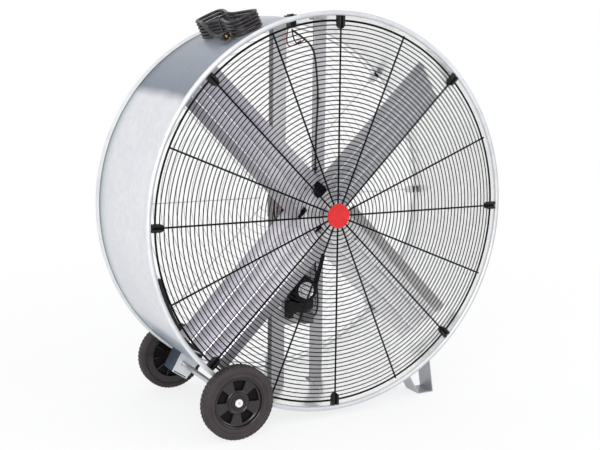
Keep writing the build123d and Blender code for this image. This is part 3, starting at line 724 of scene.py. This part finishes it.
makeGuard(guardSettings, -1, "front", rings=42, spokes=16, thinner=0.0, material=wireBlack)
makeGuard(guardSettings, 1, "rear", rings=21, spokes=8, thinner=0.4, material=guardZinc)

clipSettings = {
    "count": 8,
    "back": 211.2,
    "nose": 530.0,
    "end": 553.6,
    "half": 11.0,
    "slot": 2.8,
    "slotNose": 10.6,
    "floor": 6.0,
    "deep": 14.0,
    "overlap": 0.5,
    "floorSoft": 0.5,
    "cheekSoft": 1.1,
    "lipStart": 545.0,
    "lipEnd": 557.8,
    "lipDeep": 2.0,
}


# a round-nosed block with a slot for the spoke, and a lip behind the hem
def makeClips(s, side, label, material):
    bm = bmesh.new()
    half = s["half"]
    nose = [(s["nose"] + half * cos(radians(a)), half * sin(radians(a))) for a in range(90, 271, 15)]
    whole = nose + [(s["end"], -half), (s["end"], half)]
    cheek = nose[:6] + [(s["nose"] - s["slotNose"], s["slot"]), (s["end"], s["slot"]), (s["end"], half)]
    lip = [(s["lipStart"], -half), (s["lipEnd"], -half), (s["lipEnd"], half), (s["lipStart"], half)]
    for k in range(s["count"]):
        place = aroundDrum(360.0 / s["count"] * k, -s["back"])
        if side > 0:
            place = Matrix.Scale(-1, 4, (0, 1, 0)) @ place
        softened(bm, slab(bm, whole, place, s["floor"] + s["overlap"]), s["floorSoft"])
        raised = place @ Matrix.Translation((0, 0, s["floor"]))
        for flip in (1, -1):
            outline = [(x, flip * y) for x, y in cheek]
            softened(bm, slab(bm, outline, raised, s["deep"] - s["floor"]), s["cheekSoft"])
        slab(bm, lip, place, s["lipDeep"])
    bmesh.ops.recalc_face_normals(bm, faces=bm.faces)
    finishPiece(label + "GuardClips", bm, material, "frame", [label + "_guard_clips"], 40.0)


makeClips(clipSettings, -1, "front", clipBlack)
makeClips(clipSettings, 1, "rear", guardZinc)

# a crowned disc with a raised rim
badgeProfile = [(0, -222.4), (35.0, -222.4), (35.0, -224.6), (34.2, -225.2), (32.4, -225.2), (31.6, -224.6),
                (20.0, -225.0), (0, -225.2)]
bm = bmesh.new()
spun(bm, badgeProfile, steps=64, closed=False)
cleaned(bm)
finishPiece("guardBadge", bm, badgeRed, "frame", ["guard_badge"], 30.0)
print("guards done")

# ---- blades ----
bladeSettings = {
    "count": 4,
    "root": 57.0,
    "tip": 530.0,
    "y": -111.0,
    "pitch": 25.5,
    "thick": 2.0,
    "front": [(-79.0, 3.5), (-70.0, 1.7), (-60.0, 0.0)],
    "ribs": (-37.0, 13.0, 57.0),
    "ribHalf": 5.5,
    "ribRise": 2.5,
    "ribShape": {-0.6: 0.45, -0.25: 1.0, 0.25: 1.0, 0.6: 0.45},
    "lip": [(66.0, 0.0), (69.0, -1.0), (86.0, -9.5)],
    "middle": 300.0,
    "edge": 6.0,
    "fade": 16.0,
    # the blade painted as lit, and the blade painted as shaded
    "litCopyBlade": 3,
    "shadedCopyBlade": 0,
}


def bladeMatrix(s, k):
    turn = radians(45.0 + 360.0 / s["count"] * k)
    tilt = radians(s["pitch"])
    outward = Vector((cos(turn), 0, sin(turn)))
    chord = Vector((-sin(turn) * cos(tilt), -sin(tilt), cos(turn) * cos(tilt)))
    place = Matrix((chord, outward.cross(chord), outward)).transposed().to_4x4()
    place.translation = Vector((0, s["y"], axisZ))
    return place


# a sheet with pressed ribs that fade out before its ends, and a bent lip
def makeBlade(s, k):
    section = [(x, n, 0.0) for x, n in s["front"]]
    for rib in s["ribs"]:
        section.append((rib - s["ribHalf"], 0.0, 0.0))
        section += [(rib + s["ribHalf"] * t, 0.0, rise) for t, rise in s["ribShape"].items()]
        section.append((rib + s["ribHalf"], 0.0, 0.0))
    section += [(x, n, 0.0) for x, n in s["lip"]]
    steps = (0.0, s["edge"], s["fade"])
    stations = [s["root"] + d for d in steps] + [s["middle"]] + [s["tip"] - d for d in reversed(steps)]
    bm = bmesh.new()
    rows = []
    for u in stations:
        inset = min(u - s["root"], s["tip"] - u) / s["fade"]
        height = s["ribRise"] * max(0.0, min(1.0, inset * 1.4 - 0.4))
        row = [bm.verts.new((x, n + height * rise, u)) for x, n, rise in section]
        rows.append([bm.edges.new(pair) for pair in zip(row, row[1:])])
    for lower, upper in zip(rows, rows[1:]):
        bmesh.ops.bridge_loops(bm, edges=lower + upper)
    bmesh.ops.recalc_face_normals(bm, faces=bm.faces)
    if sum(f.normal.y for f in bm.faces) < 0:
        bmesh.ops.reverse_faces(bm, faces=bm.faces)
    bmesh.ops.solidify(bm, geom=bm.faces[:], thickness=-s["thick"])
    # rib-top faces take a painted highlight, the bent lip's faces a painted shade
    for face in bm.faces:
        x = face.calc_center_median().x
        if min(abs(x - rib) for rib in s["ribs"]) < 0.5 * s["ribHalf"]:
            face.material_index = 1
        elif x > s["ribs"][-1]:
            face.material_index = 2
    bmesh.ops.transform(bm, matrix=bladeMatrix(s, k), verts=bm.verts)
    bmesh.ops.recalc_face_normals(bm, faces=bm.faces)
    # one blade takes the sheets painted as lit, another those painted as shaded
    special = {s["litCopyBlade"]: [bladeLitCopy, bladeRidgeHighlight, litBladeLipShade], s["shadedCopyBlade"]: [bladeShadedCopy, shadedBladeRidgeHighlight, shadedBladeLipShade]}
    sheets = special.get(k, [bladeSheet, bladeRidgeHighlight, bladeLipShade])
    finishPiece(f"fanBlade{k + 1}", bm, sheets, "fan", [f"blade_{k + 1}"], 40.0)


for k in range(bladeSettings["count"]):
    makeBlade(bladeSettings, k)
print("blades done")

# ---- belt drive ----
driveSettings = {
    "beltY": -25.0,
    "sheave": 100.5,
    "pulley": 33.5,
    "motorZ": 338.0,
    "over": 4.0,
    "rim": 10.0,
    "edge": 0.8,
    "grooveTop": 7.6,
    "grooveFloor": 5.6,
    "grooveDeep": 13.0,
    "beltSection": [(4.0, -6.4), (4.0, 6.4), (-4.0, 4.4), (-4.0, -4.4)],
    "beltSteps": 40,
}


# rim with its V groove, from the inside out and round
def groovedRim(s, inner, outer):
    y = s["beltY"]
    rim, edge, deep = s["rim"], s["edge"], outer - s["grooveDeep"]
    back = [(inner, y + rim), (outer - edge, y + rim), (outer, y + rim - edge)]
    groove = [(outer, y + s["grooveTop"]), (deep, y + s["grooveFloor"]), (deep, y - s["grooveFloor"]),
              (outer, y - s["grooveTop"])]
    return back + groove + [(outer, y - rim + edge), (outer - edge, y - rim), (inner, y - rim)]


# flat ring with round holes in it, as thick as given, facing the front
def holedPlate(bm, inner, outer, holes, at, hole, y, thick):
    circles = [(0, 0, outer, 96), (0, 0, inner, 48)]
    circles += [(at * cos(2 * pi * k / holes), at * sin(2 * pi * k / holes), hole, 32) for k in range(holes)]
    verts = []
    for x, z, radius, segments in circles:
        made = bmesh.ops.create_circle(bm, cap_ends=False, segments=segments, radius=radius)
        bmesh.ops.translate(bm, verts=made["verts"], vec=(x, z, 0))
        verts += made["verts"]
    filled = bmesh.ops.triangle_fill(bm, use_beauty=True, edges=list(set(edgesOf(verts))))
    faces = [f for f in filled["geom"] if isinstance(f, bmesh.types.BMFace)]
    made = bmesh.ops.extrude_face_region(bm, geom=faces)
    top = [v for v in made["geom"] if isinstance(v, bmesh.types.BMVert)]
    bmesh.ops.translate(bm, verts=top, vec=(0, 0, thick))
    place = Matrix.Translation((0, y, axisZ)) @ Matrix.Rotation(radians(90), 4, "X")
    bmesh.ops.transform(bm, matrix=place, verts=verts + top)


sheaveSettings = {"bore": 12.52, "hub": 24.0, "hubEdge": 0.6, "hubBack": 14.0, "hubFront": -3.0, "rimDeep": 20.0,
                  "holes": 5, "holesAt": 54.0, "hole": 17.0, "web": 6.0, "lap": 0.4, "tone": 20.5}


# hub, web with round holes and grooved rim
def makeSheave(s):
    bm = bmesh.new()
    y = driveSettings["beltY"]
    outer = driveSettings["sheave"] + driveSettings["over"]
    back, front = y + s["hubBack"], y + s["hubFront"]
    hub = [(s["bore"], back), (s["hub"] - s["hubEdge"], back), (s["hub"], back - s["hubEdge"]),
           (s["hub"], front), (s["bore"], front)]
    spunAll(bm, [hub, groovedRim(driveSettings, outer - s["rimDeep"], outer)])
    holedPlate(bm, s["hub"] - s["lap"], outer - s["rimDeep"] + s["lap"], holes=s["holes"], at=s["holesAt"],
               hole=s["hole"], y=y + s["web"] / 2, thick=s["web"])
    cleaned(bm)
    markRing(bm, (0, axisZ), inner=outer - s["tone"])
    finishPiece("fanSheave", bm, [castBlack, brightSteel], "fan", ["fan_sheave"], 30.0)


makeSheave(sheaveSettings)

# the front is (radius, y from the belt's middle), with a turned step round the shaft
pulleySettings = {
    "bore": 8.02,
    "front": [(26, -10), (24.5, -9), (21, -9), (20, -10), (19, -9), (16, -9), (15, -15), (14, -15.6),
              (8.02, -15.6)],
    "tone": 28.0,
}


def makePulley(s):
    bm = bmesh.new()
    centre = (0, driveSettings["motorZ"])
    outer = driveSettings["pulley"] + driveSettings["over"]
    front = [(r, driveSettings["beltY"] + y) for r, y in s["front"]]
    spun(bm, groovedRim(driveSettings, s["bore"], outer)[:-1] + front, centre, 64)
    cleaned(bm)
    markRing(bm, centre, inner=s["tone"])
    finishPiece("motorPulley", bm, [brightSteel, castBlack], "motor_rotor", ["motor_pulley"], 30.0)


makePulley(pulleySettings)


# a V section carried round both pulleys and along the two straight runs
def makeBelt(s):
    big, small = s["sheave"], s["pulley"]
    lean = asin((big - small) / (axisZ - s["motorZ"]))
    arcs = [(Vector((0, s["beltY"], axisZ)), big, -lean, pi + lean),
            (Vector((0, s["beltY"], s["motorZ"])), small, pi + lean, 2 * pi - lean)]
    bm = bmesh.new()
    loops = []
    for centre, radius, start, end in arcs:
        for k in range(s["beltSteps"] + 1):
            a = start + (end - start) * k / s["beltSteps"]
            outward = Vector((cos(a), 0, sin(a)))
            loop = [bm.verts.new(centre + outward * (radius + r) + Vector((0, y, 0)))
                    for r, y in s["beltSection"]]
            loops.append([bm.edges.new(pair) for pair in zip(loop, loop[1:] + loop[:1])])
    for one, two in zip(loops, loops[1:] + loops[:1]):
        bmesh.ops.bridge_loops(bm, edges=one + two)
    cleaned(bm)
    finishPiece("driveBelt", bm, beltRubber, "frame", ["drive_belt"], 40.0)


makeBelt(driveSettings)
print("drive done")

# ---- wheels ----
# profiles are (radius, y from the wheel's middle, outwards), and lugs (radius, y, along the tread)
wheelSettings = {
    "x": -326.0,
    "z": 104.0,
    "y": 253.0,
    "tyreRim": [(72.5, 15.9), (74.5, 17.6), (78.0, 18.4), (82.6, 18.9), (84.0, 17.7), (85.4, 19.0)],
    "tyreSide": [(88.0, 19.9), (92.0, 20.4), (96.5, 19.7), (100.0, 17.4), (102.2, 13.4), (102.8, 4.0)],
    "tyreBack": [(86.0, -18.2), (86.0, -13.0), (72.5, -13.0)],
    "lugs": 52,
    "lugFoot": [(99.5, 1.0, -4.6), (99.5, 18.0, -3.4), (99.5, 18.0, 5.2), (99.5, 1.0, 3.6)],
    "lugTop": [(103.9, 1.0, -4.0), (103.9, 12.6, -2.8), (103.9, 12.6, 4.6), (103.9, 1.0, 3.0)],
    "hubBack": [(8.08, -18.0), (24.0, -18.0), (24.0, -8.0), (62.5, -8.0), (64.0, -17.0), (65.0, -18.0),
                (85.0, -18.0), (86.0, -17.2), (86.0, -13.0), (72.5, -13.0)],
    "hubFront": [(72.5, 16.0), (71.6, 17.2), (68.4, 17.5), (67.0, 16.4), (66.2, 9.6), (64.6, 7.4), (62.4, 6.2),
                 (33.0, 6.0), (31.4, 7.0), (30.6, 9.0), (28.6, 9.4), (27.0, 8.2), (21.6, 8.2), (20.6, 9.8),
                 (18.4, 10.0), (17.2, 8.6), (14.0, 8.6), (13.2, 10.0), (8.08, 10.0)],
    "pockets": 5,
    "pocketTurn": 87.0,
    "pocketHalf": 19.5,
    "pocketRing": (33.0, 62.4),
    "pocketFront": 4.0,
    "pocketInset": [(0.7, -0.5), (0.8, -9.0)],
    "backRing": (24.5, 64.5),
    "backFront": -7.0,
    "ribs": 10,
    "ribAt": (44.5, -11.8),
    "ribSize": (41.5, 8.2, 3.0),
}


def makeTyre(s, side, label):
    middle = side * s["y"]
    outside = s["tyreRim"] + s["tyreSide"]
    inside = [(r, -y) for r, y in reversed(s["tyreSide"])] + s["tyreBack"]
    bm = bmesh.new()
    spun(bm, [(r, middle + side * y) for r, y in outside + inside], (s["x"], s["z"]))
    for k in range(s["lugs"]):
        for half in (-1, 1):
            turn = 2 * pi / s["lugs"] * (k + (0.5 if half > 0 else 0))
            outward = Vector((cos(turn), 0, sin(turn)))
            around = Vector((-sin(turn), 0, cos(turn)))
            verts = [bm.verts.new(Vector((s["x"], middle + half * y, s["z"])) + outward * r + around * t)
                     for r, y, t in s["lugFoot"] + s["lugTop"]]
            bmesh.ops.convex_hull(bm, input=verts)
    cleaned(bm)
    finishPiece(label + "Tyre", bm, tyreRubber, "wheel_" + label, [f"wheel_{label}_tyre"], 32.0)


# a dished hub with pockets sunk into its front, and ribs across the hollow of its back
def makeHub(s, side, label):
    middle = Vector((s["x"], side * s["y"], s["z"]))
    bm = bmesh.new()
    spun(bm, [(r, middle.y + side * y) for r, y in s["hubBack"] + s["hubFront"]], (s["x"], s["z"]), 120)
    cleaned(bm)
    pitch = 360.0 / s["pockets"]
    pockets = []
    for face in bm.faces:
        spot = face.calc_center_median() - middle
        radius = hypot(spot.x, spot.z)
        turn = degrees(atan2(spot.z, spot.x)) - s["pocketTurn"]
        offset = abs((turn + pitch / 2) % pitch - pitch / 2)
        outwards = spot.y * side
        inRing = s["pocketRing"][0] < radius < s["pocketRing"][1]
        if inRing and offset < s["pocketHalf"] and outwards > s["pocketFront"]:
            pockets.append(face)
        # the back's hollow takes the painted shade
        elif s["backRing"][0] < radius < s["backRing"][1] and outwards < s["backFront"]:
            face.material_index = 1
    for thickness, depth in s["pocketInset"]:
        bmesh.ops.inset_region(bm, faces=pockets, thickness=thickness, depth=depth)
    # the sunk pockets take the painted shade
    for face in pockets:
        face.material_index = 1
    at, depth = s["ribAt"]
    rib = Matrix.Translation((at, side * depth, 0)) @ Matrix.Diagonal((*s["ribSize"], 1))
    for k in range(s["ribs"]):
        turn = Matrix.Translation(middle) @ Matrix.Rotation(2 * pi * k / s["ribs"], 4, "Y")
        bmesh.ops.create_cube(bm, size=1.0, matrix=turn @ rib)
    cleaned(bm)
    plastics = [hubPlastic, hubPaintedShade]
    finishPiece(label + "Hub", bm, plastics, "wheel_" + label, [f"wheel_{label}_hub"], 30.0)


for side, label in ((-1, "front"), (1, "rear")):
    makeTyre(wheelSettings, side, label)
    makeHub(wheelSettings, side, label)

capSettings = {
    "profile": [(0, 266.4), (3.4, 266.4), (3.8, 267.4), (8.5, 268.0), (10.5, 267.8), (11.5, 266.6),
                (11.5, 264.1), (8.1, 264.1)],
    "hollow": 3.5,
}


def makeCaps(s):
    bm = bmesh.new()
    centre = (wheelSettings["x"], wheelSettings["z"])
    for side in (-1, 1):
        spun(bm, [(r, side * y) for r, y in s["profile"]], centre, 40, closed=False)
    cleaned(bm)
    # the dimple at the middle takes the painted shade
    markRing(bm, centre, outer=s["hollow"])
    finishPiece("axleCaps", bm, [capSteel, capPaintedShade], "frame", ["axle_caps"], 30.0)


makeCaps(capSettings)
print("wheels done")

# ---- motor ----
motorSettings = {
    "z": driveSettings["motorZ"],
    "frontBell": [(8.1, -6), (20, -6), (22, -4.5), (34, -4.5), (37, -5.5), (43, 1), (44, 3), (44, 26),
                  (8.1, 26)],
    "shell": 62.0,
    "shellBore": 10.0,
    "shellFront": 26.0,
    "shellBack": 150.0,
    "shellEdge": 1.5,
    "grooves": range(52, 109, 8),
    "grooveDeep": 1.2,
    "rearBell": [(8.1, 150), (60, 150), (60.5, 152), (60, 157), (54, 162), (42, 169), (38, 171.5), (20, 172),
                 (18, 170), (8.1, 170)],
    "slotRing": (43, 56),
    "slotY": 155,
    "slotPitch": 30.0,
    "slotWide": 20.0,
    "slotInset": [(0.8, 0.0), (0.3, -5.0)],
}


# front bell, shell with grooves round it and rear bell with a ring of air slots
def makeMotor(s):
    centre = (0, s["z"])
    bm = bmesh.new()
    spun(bm, s["frontBell"], centre, 72)
    cleaned(bm)
    finishPiece("motorFrontBell", bm, motorPaint, "frame", ["motor_front_bell"], 30.0)
    bm = bmesh.new()
    outer, bore, edge = s["shell"], s["shellBore"], s["shellEdge"]
    skin = [(bore, s["shellFront"]), (outer - 1, s["shellFront"]), (outer, s["shellFront"] + edge)]
    for y in s["grooves"]:
        skin += [(outer, y), (outer - s["grooveDeep"], y + 1), (outer - s["grooveDeep"], y + 3), (outer, y + 4)]
    skin += [(outer, s["shellBack"] - edge), (outer - 1, s["shellBack"]), (bore, s["shellBack"])]
    spun(bm, skin, centre, 72)
    cleaned(bm)
    finishPiece("motorShell", bm, motorPaint, "frame", ["motor_shell"], 30.0)
    bm = bmesh.new()
    spun(bm, s["rearBell"], centre, 72)
    cleaned(bm)
    slots = []
    for face in bm.faces:
        spot = face.calc_center_median()
        radius = hypot(spot.x, spot.z - s["z"])
        turn = degrees(atan2(spot.z - s["z"], spot.x)) % s["slotPitch"]
        if s["slotRing"][0] < radius < s["slotRing"][1] and spot.y > s["slotY"] and turn < s["slotWide"]:
            slots.append(face)
    for thickness, depth in s["slotInset"]:
        bmesh.ops.inset_region(bm, faces=slots, thickness=thickness, depth=depth)
    cleaned(bm)
    finishPiece("motorRearBell", bm, motorPaint, "frame", ["motor_rear_bell"], 30.0)


makeMotor(motorSettings)
print("motor done")

# ---- the motor's cable, and the switch's leads ----
cableSettings = {
    "radius": 3.0,
    "points": [(-64, -60, 1106), (-25, -48, 1088), (30, -4, 1062), (48, 8, 1022), (58, 8, 912), (50, 8, 800),
               (50, 8, 430), (60, 8, 360), (68, 8, 243), (44.4, 8, 243)],
}
smoothTube("motorCable", cableSettings["points"], cableSettings["radius"], cordJacket, ["motor_cable"])

leadRadius = 1.8
leadSettings = {
    "wireBlackLead": (plugBlack, [(-72, -68, 1112), (-66, -66, 1076), (-40, -52, 1070), (-26, -56, 1082)]),
    "wireWhiteLead": (wireWhite, [(-66, -54, 1112), (-58, -46, 1084), (-44, -42, 1078), (-30, -40, 1084)]),
    "wireRedLead": (wireRed, [(-76, -50, 1112), (-84, -52, 1072), (-58, -38, 1058), (-28, -38, 1080)]),
}
for name, (material, points) in leadSettings.items():
    replaced = ["switch_wires"] if name == "wireRedLead" else []  # one solid stands for the three leads
    smoothTube(name, points, leadRadius, material, replaced)

# ---- the solids that stay, each with its finish and the width of its bevel ----
solidSettings = {
    "strut_left": (strutSheet, 1.0),
    "strut_right": (strutSheet, 1.0),
    "bearing_plate_front": (strutSheet, 0.8),
    "bearing_plate_rear": (strutSheet, 0.8),
    "motor_bracket": (strutSheet, 0.6),
    "fan_spider": (spiderSheet, 0.8),
    "bearing_front": (castBlack, 0.8),
    "bearing_rear": (castBlack, 0.8),
    "fan_shaft": (brightSteel, None),
    "shaft_collars": (brightSteel, None),
    "blade_rivets": (brightSteel, 0.5),
    "motor_shaft": (brightSteel, None),
    "motor_cradle": (motorPaint, 1.2),
    "motor_box": (boxGrey, 1.0),
    "axle": (brightSteel, None),
    "axle_spacers": (zincPlate, None),
    "axle_bracket_front": (zincPlate, 0.8),
    "axle_bracket_rear": (zincPlate, 0.8),
    "foot_front": (footPlate, 0.8),
    "foot_rear": (footPlate, 0.8),
    "frame_bolts": (brightSteel, 0.5),
    "edge_guard": (clipBlack, 1.0),
    "switch_body": (clipBlack, 0.6),
    "switch_rocker": (clipBlack, 0.6),
    "cable_clips": (clipBlack, None),
}
bevelAngle = 35


def dressSolid(node, material, width):
    node.data.materials.clear()
    node.data.materials.append(material)
    if width:
        weld = node.modifiers.new("weld", "WELD")
        weld.merge_threshold = 0.00001
        bevel = node.modifiers.new("bevel", "BEVEL")
        bevel.width = width * mm
        bevel.segments = 2
        bevel.limit_method = "ANGLE"
        bevel.angle_limit = radians(bevelAngle)
        bevel.harden_normals = False


for name, (material, width) in solidSettings.items():
    dressSolid(nodes[name], material, width)
print("solids dressed")

# ---- floor, lamps and world, in metres ----
# the seen floor is plain white by the share nearWhite as far as near, and wholly from far on
stageSettings = {
    "floor": 20.0,
    "floorZ": -0.0002,
    "floorColour": (0.88, 0.88, 0.89),
    "near": 0.9,
    "far": 2.6,
    "nearWhite": 0.8,
    "world": 0.95,
    "worldColour": (0.97, 0.985, 1.0),
    "lamps": {
        "keyLamp": {"power": 38.0, "size": 1.6, "place": (-1.6, -2.5, 1.6), "aim": (0, 0, 0.55)},
        "fillLamp": {"power": 30.0, "size": 2.5, "place": (3.4, -1.8, 2.4), "aim": (0, 0, 0.5)},
    },
}


# 1 for rays of any of these kinds, else 0
def rayKinds(tree, kinds):
    path = tree.nodes.new("ShaderNodeLightPath")
    value = path.outputs[kinds[0]]
    for kind in kinds[1:]:
        value = mathNode(tree, "Math", "MAXIMUM", value, path.outputs[kind]).outputs[0]
    return value


def blendShaders(tree, share, first, second, output):
    blend = tree.nodes.new("ShaderNodeMixShader")
    tree.links.new(share, blend.inputs[0])
    tree.links.new(first.outputs[0], blend.inputs[1])
    tree.links.new(second.outputs[0], blend.inputs[2])
    tree.links.new(blend.outputs[0], tree.nodes[output].inputs["Surface"])


# a floor that takes shadows near the fan and turns plain white further out, in direct view and in mirrors
def makeFloor(s):
    bm = bmesh.new()
    bmesh.ops.create_grid(bm, x_segments=1, y_segments=1, size=s["floor"])
    mesh = bpy.data.meshes.new("floor")
    bm.to_mesh(mesh)
    bm.free()
    floor = bpy.data.objects.new("floor", mesh)
    scene.collection.objects.link(floor)
    floor.location.z = s["floorZ"]
    material, tree, shader = nodeMaterial("floorWhite", s["floorColour"], 0.0, 0.7)
    shader.inputs["Specular IOR Level"].default_value = 0.1
    away = mathNode(tree, "VectorMath", "LENGTH", objectCoords(tree)).outputs["Value"]
    spread = spanned(tree, away, s["near"], s["far"], low=s["nearWhite"])
    seen = rayKinds(tree, ("Is Camera Ray", "Is Glossy Ray"))
    share = mathNode(tree, "Math", "MULTIPLY", seen, spread).outputs[0]
    blendShaders(tree, share, shader, tree.nodes.new("ShaderNodeEmission"), "Material Output")
    mesh.materials.append(material)


# soft light all round, seen and mirrored as plain white
def makeWorld(s):
    world = bpy.data.worlds.new("studio")
    scene.world = world
    world.use_nodes = True
    tree = world.node_tree
    background = tree.nodes["Background"]
    background.inputs["Color"].default_value = (*s["worldColour"], 1)
    background.inputs["Strength"].default_value = s["world"]
    white = tree.nodes.new("ShaderNodeBackground")
    white.inputs["Color"].default_value = (1, 1, 1, 1)
    seen = rayKinds(tree, ("Is Camera Ray", "Is Glossy Ray", "Is Transmission Ray"))
    blendShaders(tree, seen, background, white, "World Output")


def makeLamps(s):
    for name, lampSettings in s["lamps"].items():
        data = bpy.data.lights.new(name, "AREA")
        data.energy = lampSettings["power"]
        data.size = lampSettings["size"]
        lamp = bpy.data.objects.new(name, data)
        scene.collection.objects.link(lamp)
        lamp.location = lampSettings["place"]
        towards = Vector(lampSettings["aim"]) - Vector(lampSettings["place"])
        lamp.rotation_euler = towards.to_track_quat("-Z", "Y").to_euler()


makeFloor(stageSettings)
makeWorld(stageSettings)
makeLamps(stageSettings)
scene.view_settings.view_transform = "Standard"
print("stage done")
